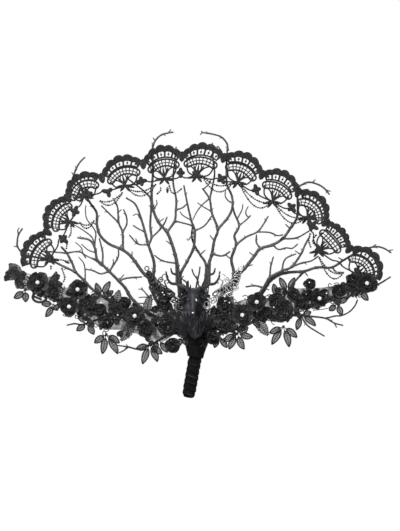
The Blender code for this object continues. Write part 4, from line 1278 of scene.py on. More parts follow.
def chiffon_petal(shape, centre, y, angle, length, half_width, cup, rng, shade=0.0):
    """A petal with a sunk middle line that cups up from the flower's middle and curls back at its rim;
    its tone paints light and shade on it, and shade moves the whole petal lighter or darker.
    """
    direction = np.array([math.cos(angle), math.sin(angle)])
    side = np.array([-direction[1], direction[0]])
    shape.cut += 2 * half_width * length * PETAL_SHARE
    wave = rng.uniform(0, 6)
    crease = rng.uniform(0.25, 0.6)
    rows, tones = [], []
    for share in np.linspace(0.04, 1, 12):
        width = half_width * (0.16 + 0.84 * math.sin(math.pi * min(1.0, share * 0.72)) ** 1.1) \
            * math.sqrt(max(0.05, 1 - max(0.0, share - 0.66) ** 2 * 8))
        row, tone = [], []
        for across in np.linspace(-1, 1, 11):
            notch = 0.12 * length * share ** 6 * math.exp(-(across / 0.28) ** 2)
            bow = (1 - abs(across) ** 2.2) * 0.09 * length * share - notch
            spot = np.array(centre) + direction * (length * share * 0.92 + bow) + side * width * across
            pleat = math.sin(across * 8 + wave)
            groove = math.exp(-(across / 0.2) ** 2)
            rise = cup * math.sin(share * 2.0) + 1.5 * across ** 2 * share + crease * pleat * share \
                + 0.4 * math.sin(share * 9 + wave) - 0.6 * groove * math.sin(share * math.pi)
            row.append((spot[0], y - rise, spot[1]))
            # painted light and shade: darker towards the flower's middle and the petal's sides, lighter
            # on the pleats and rim, darker down the sunk middle line
            lit = 0.02 + 0.62 * share ** 1.2 * (1 - 0.5 * abs(across) ** 3) + 0.12 * pleat * share
            tone.append(min(1.0, max(0.0, lit - 0.25 * groove * (1 - share) + shade)))
        rows.append(row)
        tones.append(tone)
    shape.slab(rows, 0.28, normals=TOWARDS_VIEWER, tone=tones)


def chiffon_flower(shape, centre, radius, petals, turn_deg, y, rng):
    """Rings of petals, each ring smaller and more upright than the last, and painted darker as shade."""
    for layer, share in enumerate(FLOWER_RINGS):
        reach = radius * share
        for number in range(petals):
            angle = math.radians(turn_deg + (number + 0.5 * (layer % 2) + 0.5) * 360 / petals) \
                + rng.uniform(-0.14, 0.14)
            width = reach * math.sin(math.pi / petals) * 0.8 * rng.uniform(0.92, 1.06)
            # each petal's tone differs at random, and the inner rings get painted shade
            chiffon_petal(shape, centre, y - layer * 1.4 - (number % 2) * 0.7, angle,
                          reach * rng.uniform(0.86, 1.04), width, 1.1 + 0.9 * layer, rng,
                          rng.uniform(-0.25, 0.2) - 0.18 * layer)


def make_flowers():
    """The eight flowers that are CAD nodes, each with a pearl in a ring of seed beads."""
    made = []
    for number, (name, centre, radius, petals, turn_deg, level) in enumerate(FLOWERS):
        rng = random.Random(300 + number)
        back = FLOWER_Y[level]
        flower = Shape()
        chiffon_flower(flower, centre, radius, petals, turn_deg, back, rng)
        stem = at_depth([centre, centre], [LEAF_Y, back - 0.5])
        flower.tube(stem, 1.3, sides=8, ref=(0, 0, 1))
        made.append(piece(flower, "chiffon_" + name, "chiffon", ["flower_" + name]))

        bead = Shape()
        spot = np.array([centre[0], back - PEARL_LIFT, centre[1]])
        bead.ball(spot, PEARL_RADIUS * 0.9, segments=20, rings=12)
        piece(bead, "bead_" + name, "pearl", ["pearl_" + name])
        ring = Shape()
        for step in range(9):
            angle = 2 * math.pi * step / 9
            ring.ball(spot + np.array([math.cos(angle) * 3.6, 1.9, math.sin(angle) * 3.6]), 0.75, 6, 4)
        piece(ring, "bead_seat_" + name, "beads")
    return made


def make_small_flowers():
    """Smaller flowers with beads in the middle; returns the cloth."""
    petals = Shape()
    middles = Shape()
    for number, (centre, radius, count, turn_deg) in enumerate(SMALL_FLOWERS):
        rng = random.Random(500 + number)
        y = -9.6 - 1.2 * (number % 3)
        chiffon_flower(petals, centre, radius, count, turn_deg, y, rng)
        spot = np.array([centre[0], y - 3.6, centre[1]])
        middles.ball(spot, 1.3, 8, 6)
        for step in range(6):
            angle = 2 * math.pi * (step + 0.3) / 6
            beside = np.array([math.cos(angle) * 2.2, 0.4, math.sin(angle) * 2.2])
            middles.ball(spot + beside, 0.8, 6, 4)
    piece(middles, "small_flower_beads", "beads")
    return piece(petals, "small_flowers", "chiffon")


def make_rosettes():
    """Ribbon roses: rings of folded petals, each ring smaller, more upright and painted a little darker,
    as shade, than the last.
    """
    shape = Shape()
    for number, (centre, radius) in enumerate(ROSETTES):
        rng = random.Random(700 + number)
        depth = -10.0 - (number % 3)
        for ring, (reach, petals, cup) in enumerate(ROSETTE_RINGS):
            for petal_number in range(petals):
                angle = math.radians(360 * petal_number / petals + ring * 37) + rng.uniform(-0.2, 0.2)
                width = radius * reach * math.sin(math.pi / petals) * 1.15
                # each petal's tone differs at random, with painted shade deeper in the rose
                chiffon_petal(shape, centre, depth - ring * 0.9, angle,
                              radius * reach * rng.uniform(0.9, 1.05),
                              width, cup, rng, rng.uniform(-0.2, 0.12) - 0.06 * ring)
    return piece(shape, "ribbon_rosettes", "chiffon", material=SATIN)


def make_leaves():
    """Lace leaves on the CAD's sprays, then the loose ones and the long leaves; returns the nets."""
    made = []
    for number, (name, hub, tips) in enumerate(LEAF_SPRAYS):
        rng = random.Random(900 + number)
        blades = Shape()
        cords = Shape()
        for i, tip in enumerate(tips):
            lace_leaf(blades, cords, hub, tip, 3.9, LEAF_Y - 0.35 * i, rng)
        cords.ball((hub[0], LEAF_Y - 0.6, hub[1]), (1.8, 1.0, 1.8))
        made.append(piece(blades, name + "_net", "leaf_lace", [name]))
        piece(cords, name + "_cording", "lace", [name])
    blades = Shape()
    cords = Shape()
    for number, (hub, tips, half_width) in enumerate(EXTRA_LEAVES):
        rng = random.Random(1100 + number)
        for i, tip in enumerate(tips):
            lace_leaf(blades, cords, hub, tip, half_width, LEAF_Y - 0.6 - 0.35 * i, rng)
    for number, (base, tip, half_width) in enumerate(SERRATED + STAR_LEAVES):
        rng = random.Random(1300 + number)
        serrated_leaf(blades, cords, base, tip, half_width, LEAF_Y - 1.2 - 0.5 * (number % 3), rng)
    made.append(piece(blades, "garland_leaf_nets", "leaf_lace"))
    piece(cords, "garland_leaf_cording", "lace")
    return made


def edge_at(points, share):
    """The point at a share of the length of an edge."""
    path = at_depth(points, 0.0)
    length = run_length(path)
    place = np.asarray(share) * length[-1]
    return np.stack([np.interp(place, length, path[:, 0]), np.interp(place, length, path[:, 2])],
                    axis=-1)


def make_bases():
    """Gathered organza under the flowers, pleated across its width."""
    made = []
    for number, (side, (upper, lower)) in enumerate(BASE_EDGES.items()):
        share = np.linspace(0, 1, 241)
        top = edge_at(upper, share)
        bottom = edge_at(lower, share)
        across = np.linspace(0.13, 0.86, 17)
        flat = bottom[:, None, :] + (top - bottom)[:, None, :] * across[None, :, None]
        wave = np.sin(share[:, None] * 150 + 2.0 * np.sin(across[None, :] * 5 + number)) * 0.8 \
            + 0.5 * np.sin(share[:, None] * 61 + across[None, :] * 9)
        rows = np.stack([flat[:, :, 0], BASE_Y + wave, flat[:, :, 1]], axis=-1)
        shape = Shape()
        shape.slab(rows, 0.25, normals=TOWARDS_VIEWER)
        middle = (flat[:, 0] + flat[:, -1]) / 2
        depth = np.linalg.norm(flat[:, -1] - flat[:, 0], axis=1).mean()
        shape.cut = run_length(middle)[-1] * depth * GATHER
        made.append(piece(shape, "organza_" + side, "organza", ["garland_base_" + side]))
    return made


def make_fillers():
    """Scraps of guipure over the backing: curls, sprigs and small petals."""
    cords = Shape()
    petals = Shape()
    rng = random.Random(1500)
    for upper, lower in BASE_EDGES.values():
        for _ in range(FILLERS_PER_SIDE):
            share = rng.random()
            across = rng.random()
            top = edge_at(upper, share)
            bottom = edge_at(lower, share)
            spot = bottom + (top - bottom) * (0.04 + 0.92 * across)
            y = LEAF_Y - rng.uniform(-0.8, 3.0)
            kind = rng.random()
            turn = rng.uniform(0, 360)
            angle = math.radians(turn)
            tone = rng.uniform(0.0, 0.9)
            if kind < FILLER_FLOWERS:
                lace_flower(petals, spot, rng.uniform(3.2, 6.0), turn, rng.choice((4, 5, 6)), y,
                            tone, 5)
            elif kind < FILLER_CURLS:
                curl = []
                for step in range(11):
                    swirl = angle + step * 0.6
                    r = 0.7 + step * 0.36
                    curl.append((spot[0] + r * math.cos(swirl), y, spot[1] + r * math.sin(swirl)))
                cords.tube(smooth(curl, 1.0), 0.6, sides=5, flat=0.8, tone=tone)
            else:
                tip = (spot[0] + 8 * math.cos(angle), spot[1] + 8 * math.sin(angle))
                serrated_leaf(petals, cords, tuple(spot), tip, 2.4, y, rng)
    sprays = piece(petals, "guipure_sprigs", "lace")
    return sprays, piece(cords, "guipure_curls", "lace")


def make_ribbons():
    """The oval ribbon ring, the satin strip and the loose ribbon loops."""
    shape = Shape()
    turn = np.linspace(0, 2 * math.pi * 0.97, 40)
    ring = at_depth(np.column_stack([-198 + 9 * np.cos(turn), 95 + 6.5 * np.sin(turn)]), LEAF_Y - 1.0)
    shape.tube(ring, 1.7, sides=8, flat=0.35)
    shape.tube(smooth([(-192, LEAF_Y - 1.5, 102), (-180, LEAF_Y - 2.5, 95),
                       (-168, LEAF_Y - 1.5, 86)], 1.0),
               3.2, sides=10, flat=0.15)
    for loop in SATIN_LOOPS:
        shape.tube(smooth(at_depth(loop, LEAF_Y - 1.4), 1.0), 1.5, sides=8, flat=0.3)
    for loop in CORD_LOOPS:
        shape.tube(smooth(at_depth(loop, LEAF_Y - 0.8), 1.0), 0.55, sides=5)
    shape.cut = RIBBON_CUT
    ribbons = piece(shape, "garland_ribbons", "chiffon", material=SATIN)
    sequins = Shape()
    for x, z in SEQUINS:
        sequins.ball((x, SEQUIN_Y, z), (1.0, 0.7, 1.0), 8, 5)
    # their near-white colour paints the reflections of clear sequins
    piece(sequins, "clear_sequins", "pearl", material=CRYSTAL)
    return ribbons


# ---------------------------------------------------------------- stag, antlers, metal scrolls

# (x, y, z, half width, half depth) up the chest and neck, over the crown and down the muzzle
NECK = [(3, -14, 45, 7, 5), (3, -17, 52, 10.5, 7), (2.5, -20, 61, 14.5, 8.5), (2, -22, 69, 16, 8),
        (1, -21, 77, 13.5, 6.5), (0.5, -18, 87, 13, 5.5), (0.5, -17, 97, 11.5, 5)]
HEAD = [(1, -22, 99, 6.0, 6), (1, -27, 99.5, 7.6, 8.2), (0.8, -33, 96.5, 7.2, 7.6),
        (0.5, -38.5, 91, 5.6, 6.0), (0.2, -43, 84.5, 4.2, 4.8), (0, -46, 79.5, 3.9, 4.2),
        (0, -48, 76.2, 3.4, 3.0)]
ANTLER_BEAM = [(6.5, -26, 104), (8.5, -26, 107), (14, -25, 108.5), (20, -22, 112), (21, -17, 124),
               (22, -12, 140)]
ANTLER_OUTER = [(20, -22, 112), (28, -24, 113), (33, -24, 120), (34.5, -23, 128)]
ANTLER_INNER = [(21, -17, 124), (26.5, -18, 126), (28.5, -18, 132)]
ANTLER_TINES = [[(9, -26, 107), (7, -28, 112), (7.5, -29, 116)], [(21.5, -15, 131), (17, -15, 136)],
                [(30, -24, 115), (33, -26, 113)]]


def loft(shape, sections, sides=20, step=1.6, sculpt=None, tone=0.5):
    """A closed body through sections of (x, y, z, half width, half depth)."""
    path = smooth(sections, step)
    centres = path[:, :3]
    ahead = unit(np.gradient(centres, axis=0))
    side = unit(np.cross(ahead, (0.0, 1.0, 0.0)) + np.array([1e-4, 0, 0]))
    side = np.where(side[:, :1] < 0, -side, side)
    up = np.cross(side, ahead)
    angles = np.arange(sides) * 2 * math.pi / sides
    share = np.linspace(0, 1, len(path))
    grow_by = np.ones((len(path), sides)) if sculpt is None else sculpt(share[:, None], angles[None, :])
    ring = (centres[:, None, :]
            + side[:, None, :] * (path[:, 3, None] * np.cos(angles) * grow_by)[:, :, None]
            + up[:, None, :] * (path[:, 4, None] * np.sin(angles) * grow_by)[:, :, None])
    quads = ring_quads(len(path), sides)
    along = run_length(centres)
    grain = np.stack([path[:, 3, None] * np.cos(angles), path[:, 4, None] * np.sin(angles),
                      np.repeat(along[:, None], sides, axis=1)], axis=-1)
    start = shape.count
    shape.add(ring.reshape(-1, 3), grain.reshape(-1, 3), quads, tone)
    shape.faces.append([start + i for i in reversed(range(sides))])
    shape.faces.append([start + (len(path) - 1) * sides + i for i in range(sides)])


FUR_TONES = (0.05, 0.15, 0.26, 0.38, 0.5, 0.6)


def make_bust():
    """Chest, neck and head, with ears, brow ridges and nostrils."""
    body = Shape()

    def chest_folds(share, angle):
        return 1 + 0.035 * np.sin(angle * 9 + share * 14) * (1 - share) + 0.02 * np.sin(share * 30)

    def skull(share, angle):
        brow = 0.10 * np.exp(-((share - 0.42) / 0.10) ** 2) * np.abs(np.cos(angle)) ** 2
        socket = -0.12 * np.exp(-((share - 0.55) / 0.06) ** 2) * np.abs(np.cos(angle)) ** 3
        cheek = 0.06 * np.exp(-((share - 0.66) / 0.08) ** 2)
        bridge = -0.05 * np.exp(-((share - 0.75) / 0.15) ** 2) * np.abs(np.sin(angle * 2))
        return 1 + brow + socket + cheek + bridge

    # the low tone paints the neck and chest darker: painted shade behind and under the head
    loft(body, NECK, sides=28, sculpt=chest_folds, tone=0.15)
    loft(body, HEAD, sides=24, step=1.0, sculpt=skull, tone=0.42)
    for side in (-1, 1):
        axis = smooth([(side * 6.5, -25.5, 98), (side * 11.5, -26, 97.5), (side * 16, -27, 94)], 1.0)
        share = np.linspace(0, 1, len(axis))
        width = 2.6 * np.sin(math.pi * np.clip(share * 0.9 + 0.08, 0, 1)) ** 0.8 + 0.2
        rows = []
        for point, wide in zip(axis, width):
            rows.append([(point[0], point[1] + 1.4 * (1 - abs(across) ** 1.5) - 0.8,
                          point[2] + across * wide)
                         for across in np.linspace(-1, 1, 7)])
        body.slab(rows, 0.9, normals=TOWARDS_VIEWER, tone=0.2)
        body.tube(smooth([(side * 5.0, -33, 97), (side * 7.4, -36.5, 94.5),
                          (side * 6.6, -40, 90.5)], 0.8),
                  1.0, sides=7)
        body.ball((side * 2.3, -50.2, 77.2), (1.3, 0.8, 1.0), 8, 5)
        body.tube(smooth([(side * 0.6, -49.6, 74.6), (side * 2.4, -48.6, 74.0),
                          (side * 4.0, -46.2, 75.6)], 0.7),
                  0.5, sides=5)
    body.ball((0, -48.4, 76.8), (3.4, 2.0, 2.4), 14, 8)
    piece(body, "stag_sculpture", "resin", ["stag_bust"])


def make_fur():
    """Locks down the chest in overlapping rows, and a ruff of spikes on both sides of the neck."""
    fur = Shape()
    rng = random.Random(1700)
    for row in range(9):
        z = 77 - row * 3.2
        half = 9.0 + 8.5 * math.sin(math.pi * min(1.0, (row + 1.5) / 7.5)) ** 0.8
        half -= max(0, row - 5) * 1.3
        for lock in range(15):
            share = (lock + 0.5 * (row % 2)) / 14.5 * 2 - 1
            x = 1.8 + share * half
            y = -24.5 - 7.0 * math.sqrt(max(0.02, 1 - min(1.0, share ** 2))) + row * 0.8
            length = rng.uniform(6.0, 10.0)
            sway = rng.uniform(-0.9, 0.9) - share * (0.4 + 0.42 * row)
            path = smooth([(x, y, z), (x + sway * 0.4, y - 1.7, z - length * 0.45),
                           (x + sway, y - 0.9, z - length)], 1.0)
            fur.tube(path, np.linspace(1.25, 0.25, len(path)), sides=6, flat=0.55,
                     tone=rng.choice(FUR_TONES))
    for side in (-1, 1):
        for _ in range(13):
            foot = (side * rng.uniform(6, 15.5) + 1, rng.uniform(-22, -14), rng.uniform(88, 106))
            tip = (foot[0] + side * rng.uniform(-4, 5), foot[1] - rng.uniform(0, 3),
                   foot[2] + rng.uniform(7, 13))
            middle = ((foot[0] + tip[0]) / 2 - side * 1.2, foot[1] - 1.5, (foot[2] + tip[2]) / 2)
            path = smooth([foot, middle, tip], 1.0)
            fur.tube(path, np.linspace(1.9, 0.6, len(path)), sides=7, ridge=0.12,
                     tone=rng.uniform(0.05, 0.5))
    piece(fur, "stag_chest_fur", "resin")


def make_eyes():
    """The two eyes, and two near-white drops on the forehead and nose that paint glints there."""
    eyes = Shape()
    for side in (-1, 1):
        eyes.ball((side * 5.2, -38.8, 92.6), (1.6, 1.4, 1.5), 12, 8)
    piece(eyes, "stag_eyes", "beads")
    glints = Shape()
    # painted glints: near-white beads by the right eye and on the nose
    glints.ball((3.4, -42.0, 91.5), (2.0, 1.2, 2.5), 10, 6)
    glints.ball((0, -50.3, 76.4), (1.3, 0.6, 0.9), 8, 5)
    piece(glints, "stag_painted_glints", "pearl", material=CRYSTAL)


def make_antlers():
    """Two antlers that mirror each other: three stems, three tines and a burr."""
    for name, side in (("left", -1), ("right", 1)):
        shape = Shape()
        for route, first, last in ((ANTLER_BEAM, 2.6, 1.2), (ANTLER_OUTER, 2.1, 1.0),
                                   (ANTLER_INNER, 1.8, 0.9)):
            path = smooth([(side * x, y, z) for x, y, z in route], 1.0)
            swelling = 1 + 0.06 * np.sin(np.arange(len(path)) * 1.7)
            shape.tube(path, np.linspace(first, last, len(path)) * swelling, sides=9, ridge=0.08)
        for route in ANTLER_TINES:
            path = smooth([(side * x, y, z) for x, y, z in route], 1.0)
            shape.tube(path, np.linspace(1.2, 0.6, len(path)), sides=7)
        shape.tube([(side * 6.5, -26, 103), (side * 7.4, -26, 105.2)], 2.7, sides=12, ridge=0.1)
        piece(shape, "antler_horn_" + name, "resin", ["antler_" + name])


FILIGREE_MIRROR_X = 1.0
FRONT_SCROLL_Y = -18.5
SCROLL_BEADS = ((47, 92), (43, 90), (52, 95), (19, 84), (15, 91), (30, 100), (40, 104), (49, 112))


def make_filigree():
    """Stamped scrolls: an openwork band between two rims, with curls, rings and cut beads."""
    for name, mirrored, metal in (("right", False, FINISH["gunmetal"]), ("left", True, BLACKENED)):
        shape = Shape()

        def put(points, y=FILIGREE_Y):
            flat = [(2 * FILIGREE_MIRROR_X - x, z) if mirrored else (x, z) for x, z in points]
            return at_depth(flat, y)

        spine = smooth(put([(26, 97), (34, 101), (43, 105), (51, 111), (56, 120), (60, 128)]), 1.0)
        share = np.linspace(0, 1, len(spine))
        half = 2.2 + 3.8 * np.sin(math.pi * share) ** 0.8
        side = unit(np.cross(np.gradient(spine, axis=0), TOWARDS_VIEWER))
        rims = [spine + side * (half * turn)[:, None] for turn in (-1, 1)]
        for rim in rims:
            shape.tube(rim, 0.8, sides=7)
            for i in range(1, len(rim) - 1, 2):
                shape.ball(rim[i] + np.array([0, -0.9, 0]), 0.7, 6, 4)
        jitter = random.Random(1800)
        for i in range(0, len(spine) - 4, 2):
            for start, end in ((0, 1), (1, 0)):
                reach = min(len(spine) - 1, i + jitter.randint(2, 6))
                a, b = rims[start][i], rims[end][reach]
                # the tone paints highlights on the bars of one slant and shade on the other, in turn
                shape.tube([a, (a + b) / 2 + np.array([0, -0.3, 0]), b], 0.42, sides=5,
                           tone=(i // 2 + start) % 2)
        # a flat band of darkest tone behind the openwork: painted shade in its gaps
        shape.tube(spine + np.array([0, 1.2, 0]), half * 0.75, sides=8, flat=0.15, tone=0.0)

        def ring(centre, radius_x, radius_z, thickness, start=0.0, turns=1.0, y=FILIGREE_Y):
            angle = np.linspace(start, start + 2 * math.pi * turns, 28)
            x = centre[0] + radius_x * np.cos(angle)
            z = centre[1] + radius_z * np.sin(angle)
            # the rings get the top tone: painted highlights
            shape.tube(put(np.column_stack([x, z]), y), thickness, sides=7, tone=1.0)

        def curl(centre, radius, thickness, start, turns=1.3, flip=1, y=FILIGREE_Y):
            share_of_turn = np.linspace(0, 1, 34)
            angle = start + flip * 2 * math.pi * turns * share_of_turn
            reach = radius * (1 - 0.75 * share_of_turn)
            points = np.column_stack([centre[0] + reach * np.cos(angle),
                                      centre[1] + reach * np.sin(angle)])
            # a high tone: painted highlights on the curls
            shape.tube(put(points, y), np.linspace(thickness, thickness * 0.7, 34), sides=7, tone=0.8)
            shape.ball(put(points[-1:], y)[0] + np.array([0, -0.4, 0]), 1.1, 8, 5)

        ring((61.5, 132), 2.75, 2.75, 0.75)
        ring((38, 120.6), 3.9, 4.1, 0.7, math.radians(-60), 0.86)
        shape.tube(smooth(put([(34, 101), (36, 108), (38.5, 114), (38, 116.5)]), 1.0), 1.0, sides=7)
        curl((43.5, 117), 3.6, 0.9, math.radians(110), 1.2, -1)
        ring((17.5, 87), 5.0, 6.8, 0.95, y=FRONT_SCROLL_Y)
        ring((17.5, 86), 2.9, 3.6, 0.6, y=FRONT_SCROLL_Y)
        curl((25.5, 91), 4.2, 0.95, math.radians(170), 1.1, 1, y=FRONT_SCROLL_Y)
        bulge = put([(30.5, 98)], FRONT_SCROLL_Y)[0]
        shape.ball(bulge, (5.4, 2.4, 3.2), 14, 9)
        # a light tone: painted highlight on this tube
        shape.tube(smooth(np.vstack([put([(22, 93)], FRONT_SCROLL_Y), put([(26, 96)], FRONT_SCROLL_Y),
                                     put([(34, 100)], FRONT_SCROLL_Y),
                                     put([(38, 102)], FILIGREE_Y)]), 1.0),
                   1.2, sides=8, tone=0.7)
        curl((27, 92), 4.8, 0.9, math.radians(200), 1.25, 1)
        curl((35, 95), 4.0, 0.8, math.radians(20), 1.2, -1)
        curl((47, 99), 4.2, 0.8, math.radians(60), 1.3, -1)
        curl((55, 107), 3.8, 0.8, math.radians(40), 1.2, -1)
        curl((16, 105), 4.2, 0.8, math.radians(160), 1.25, 1)
        shape.tube(smooth(put([(22, 96), (17, 101), (12, 106), (13, 110)]), 1.0), 0.8, sides=7)
        for x, z in SCROLL_BEADS:
            spot = put([(x, z)])[0]
            shape.ball(spot + np.array([0, -1.0, 0]), (1.2, 0.9, 1.2), 8, 5)
        shape.tube(smooth(put([(36, 95), (44, 92), (52, 93), (56, 90)]), 1.0), 0.7, sides=7)
        piece(shape, "scrollwork_" + name, "gunmetal", ["filigree_" + name], material=metal)


# ---------------------------------------------------------------- handle and stem bundle

def on_handle(radius, angle, height):
    """A point around the leaning handle: radius and height along its axis, angle from the right."""
    lean = math.radians(LEAN_DEG)
    x = radius * np.cos(angle)
    y = -radius * np.sin(angle)
    return np.stack(np.broadcast_arrays(x * math.cos(lean) + height * math.sin(lean), y,
                                        -x * math.sin(lean) + height * math.cos(lean)), axis=-1)


def wrap_taper(radius, height):
    """Rounds the wrap off towards the foot of the handle."""
    share = np.clip((height - WRAP_BOTTOM) / FOOT_ROUNDING, 0, 1)
    return radius * (FOOT_SHARE + (1 - FOOT_SHARE) * np.sqrt(1 - (1 - share) ** 2))


def make_wrap():
    """Velvet ribbon wound in a rising spiral, the lower edge of each turn over the turn below it."""
    shape = Shape()
    steps = WRAP_TURNS * 44
    rng = random.Random(1900)
    waves = [(rng.randint(2, 5), rng.uniform(0.1, 0.5), rng.uniform(0, 6)) for _ in range(6)]
    turned = np.linspace(0, WRAP_TURNS * 2 * math.pi, steps)
    rows = []
    for share in np.linspace(0, 1, 9):
        height = WRAP_BOTTOM + 0.6 + WRAP_PITCH * turned / (2 * math.pi) + RIBBON_WIDTH * share
        height = np.clip(height, WRAP_BOTTOM + 0.6, WRAP_TOP)
        radius = WRAP_RADIUS + 0.2 - 1.35 * share ** 0.9
        bulge = math.sin(math.pi * share)
        for count, slope, phase in waves:
            radius = radius + 0.09 * np.sin(turned * count + height * slope + phase) * bulge
        radius = radius + 0.25 * bulge * np.sin(turned * 2.0 + share * 5)
        rows.append(on_handle(wrap_taper(radius, height), turned, height))
    shape.slab(np.stack(rows, axis=1), 0.45)
    ring = np.linspace(0, 2 * math.pi, 49)
    for low, high, inset in ((WRAP_TOP - 8, WRAP_TOP + 0.5, 0.9),
                             (WRAP_BOTTOM + 0.3, WRAP_BOTTOM + 9, 0.75)):
        band = [on_handle(wrap_taper(WRAP_RADIUS - inset, np.full(49, height)), ring, height)
                for height in np.linspace(low, high, 9)]
        shape.slab(np.stack(band, axis=1), 0.4)
    cap = [on_handle(wrap_taper(WRAP_RADIUS - 0.75, np.full(49, WRAP_BOTTOM + 0.3)) * share, ring,
                     WRAP_BOTTOM + 0.3 - 0.9 * (1 - share ** 2)) for share in np.linspace(0.02, 1.0, 7)]
    shape.slab(np.stack(cap, axis=0), 0.3)
    return piece(shape, "velvet_spiral_wrap", "velvet", ["velvet_wrap"])


def make_creases():
    """Two slanting crease lines on each turn of the ribbon, painted lighter on two turns in three as
    highlights.
    """
    folds = Shape()
    for turn in range(WRAP_TURNS):
        middle = WRAP_BOTTOM + 5 + turn * WRAP_PITCH
        for side in (0, math.pi):
            angle = np.linspace(side + 0.3, side + 2.6, 26)
            height = middle - WRAP_PITCH * 0.3 + (angle - side) / (2 * math.pi) * WRAP_PITCH * 1.2
            radius = wrap_taper(WRAP_RADIUS + 0.05 + 0.1 * np.sin(angle * 5 + turn), height)
            swell = 0.12 + 0.3 * np.sin(np.linspace(0.1, math.pi - 0.1, 26))
            # the tone paints highlights on the creases of two turns in three
            folds.tube(on_handle(radius, angle, height), swell, sides=7, ref=HANDLE_UP,
                       tone=(0.78, 0.5, 0.65)[turn % 3])
    return piece(folds, "velvet_wrap_creases", "velvet")


def make_collar():
    """The ribbon's end gathered round the neck: it flares upwards in folds to a ragged edge."""
    shape = Shape()
    rng = random.Random(2000)
    columns, rows = 181, 16
    strip = COLLAR_TOP - COLLAR_BOTTOM + COLLAR_EDGE
    angle = np.linspace(0, 2 * math.pi * 0.985, columns)
    share = np.linspace(0, 1, rows)
    ragged = sum(rng.uniform(0.4, 1.1) * np.sin(angle * count + rng.uniform(0, 6))
                 for count in (5, 9, 14, 23))
    grid = []
    for part in share:
        fold = (0.25 + 1.15 * part) * np.sin(angle * 9 + 1.3 * np.sin(angle * 2) + part * 1.2)
        radius = 9.3 + 7.0 * part ** 1.1 + fold * 0.85
        height = COLLAR_BOTTOM + (strip + 0.9 * ragged) * part
        ring = on_handle(radius, angle, height)
        ring[:, 0] -= 4.0 * part
        ring[:, 1] *= 1 - 0.12 * part
        grid.append(ring)
    grid = np.stack(grid, axis=1)
    shape.slab(grid, 0.7)
    for turn in range(2):
        band = np.linspace(0, 2 * math.pi, 60)
        path = on_handle(9.6 + 0.15 * np.sin(band * 6), band,
                         COLLAR_BOTTOM + 2.2 + turn * 3.6 + band * 0.3)
        shape.tube(path, 1.5, sides=8, flat=0.45, ref=HANDLE_UP)
    shape.cut = strip * 2 * math.pi * COLLAR_RADIUS * COLLAR_FULLNESS
    return piece(shape, "velvet_gathered_collar", "velvet", ["wrap_collar"])


def make_hub():
    """The stems' bound ends under a crust of glue, which follows the half-round bundle."""
    shape = Shape()
    rng = random.Random(2100)
    count = 27
    for number in range(count):
        bearing = math.radians(-4 + 188 * number / (count - 1))
        for layer in (LAYER_FRONT, LAYER_MIDDLE, LAYER_REAR):
            foot = 6 + rng.uniform(-2, 2)
            reach = HUB_RADIUS - rng.uniform(0.3, 1.6)
            path = smooth([(HUB_CENTRE[0] + foot * math.cos(bearing), layer + rng.uniform(-1, 1),
                            HUB_CENTRE[1] + foot * math.sin(bearing) * 0.6 - 3),
                           (HUB_CENTRE[0] + reach * 0.6 * math.cos(bearing),
                            layer + rng.uniform(-0.6, 0.6),
                            max(HUB_CENTRE[1] + 1, HUB_CENTRE[1] + reach * 0.6 * math.sin(bearing))),
                           (HUB_CENTRE[0] + reach * math.cos(bearing), layer,
                            max(HUB_CENTRE[1] + 2.2, HUB_CENTRE[1] + reach * math.sin(bearing)))], 2.0)
            shape.tube(path, rng.uniform(2.0, 2.5), sides=8, ridge=0.08)
    for _ in range(46):
        bearing = rng.uniform(0.05, math.pi - 0.05)
        reach = rng.uniform(2, HUB_RADIUS - 5)
        spot = (HUB_CENTRE[0] + reach * math.cos(bearing), rng.choice((0.2, 7.5, 14.6)),
                HUB_CENTRE[1] + 3 + (reach - 3) * math.sin(bearing))
        shape.ball(spot, (rng.uniform(3, 5), 2.2, rng.uniform(2.5, 4.5)), 12, 8)
    lean = math.radians(LEAN_DEG)
    heights = (21.5, 32, 42, 50)
    neck = smooth([(math.sin(lean) * height, 1.5, math.cos(lean) * height) for height in heights], 2.0)
    shape.tube(neck, 4.1, sides=14, ridge=0.1, ref=TOWARDS_VIEWER)
    piece(shape, "bound_stems", "glue", ["stem_hub"])


def make_pad():
    """The felt pad, narrowed at its top, and the stitches round its edge."""
    shape = Shape()
    low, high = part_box("back_felt")
    low, high = np.array(low) / MM, np.array(high) / MM
    centre = (low + high) / 2
    half = (high - low) / 2
    columns, rows = 41, 21
    across = np.linspace(-1, 1, columns)
    up = np.linspace(-1, 1, rows)
    grid = []
    for part in up:
        narrow = 1 - 0.28 * max(0.0, part) ** 1.5
        fray = 0.012 * np.sin(across * 31 + part * 17)
        x = centre[0] - half[0] * narrow * (across + fray)
        y = high[1] - 0.15 - 0.25 * np.abs(across) ** 6 + 0.06 * np.sin(across * 9) * math.cos(part * 5)
        grid.append(np.stack([x, y, np.full(columns, centre[2] + half[2] * part)], axis=-1))
    shape.slab(grid, 1.2, normals=(0, 1, 0))

    stitches = Shape()
    outline = [(-0.86, -0.84), (0.86, -0.84), (0.86, 0.0), (0.62, 0.84), (-0.62, 0.84),
               (-0.86, 0.0)]
    for (xa, za), (xb, zb) in zip(outline, outline[1:] + outline[:1]):
        count = max(2, int(math.hypot((xb - xa) * half[0], (zb - za) * half[2]) / 3.4))
        for i in range(count):
            a, b = (i + 0.2) / count, (i + 0.75) / count
            ends = [(centre[0] + half[0] * (xa + (xb - xa) * t), high[1] - 0.12,
                     centre[2] + half[2] * (za + (zb - za) * t)) for t in (a, b)]
            stitches.tube(ends, 0.28, sides=5)
    pad = piece(shape, "felt_backing", "felt", ["back_felt"])
    sewn = piece(stitches, "felt_stitches", "felt")
    return pad, sewn


# ---------------------------------------------------------------- stage

CAMERA_LENS = 85.0
CAMERA_SENSOR = 36.0
# middle and height of the view in the plane of the handle, mm
VIEW_CENTRE = (9.1, 135.85)
VIEW_HEIGHT = 690.3
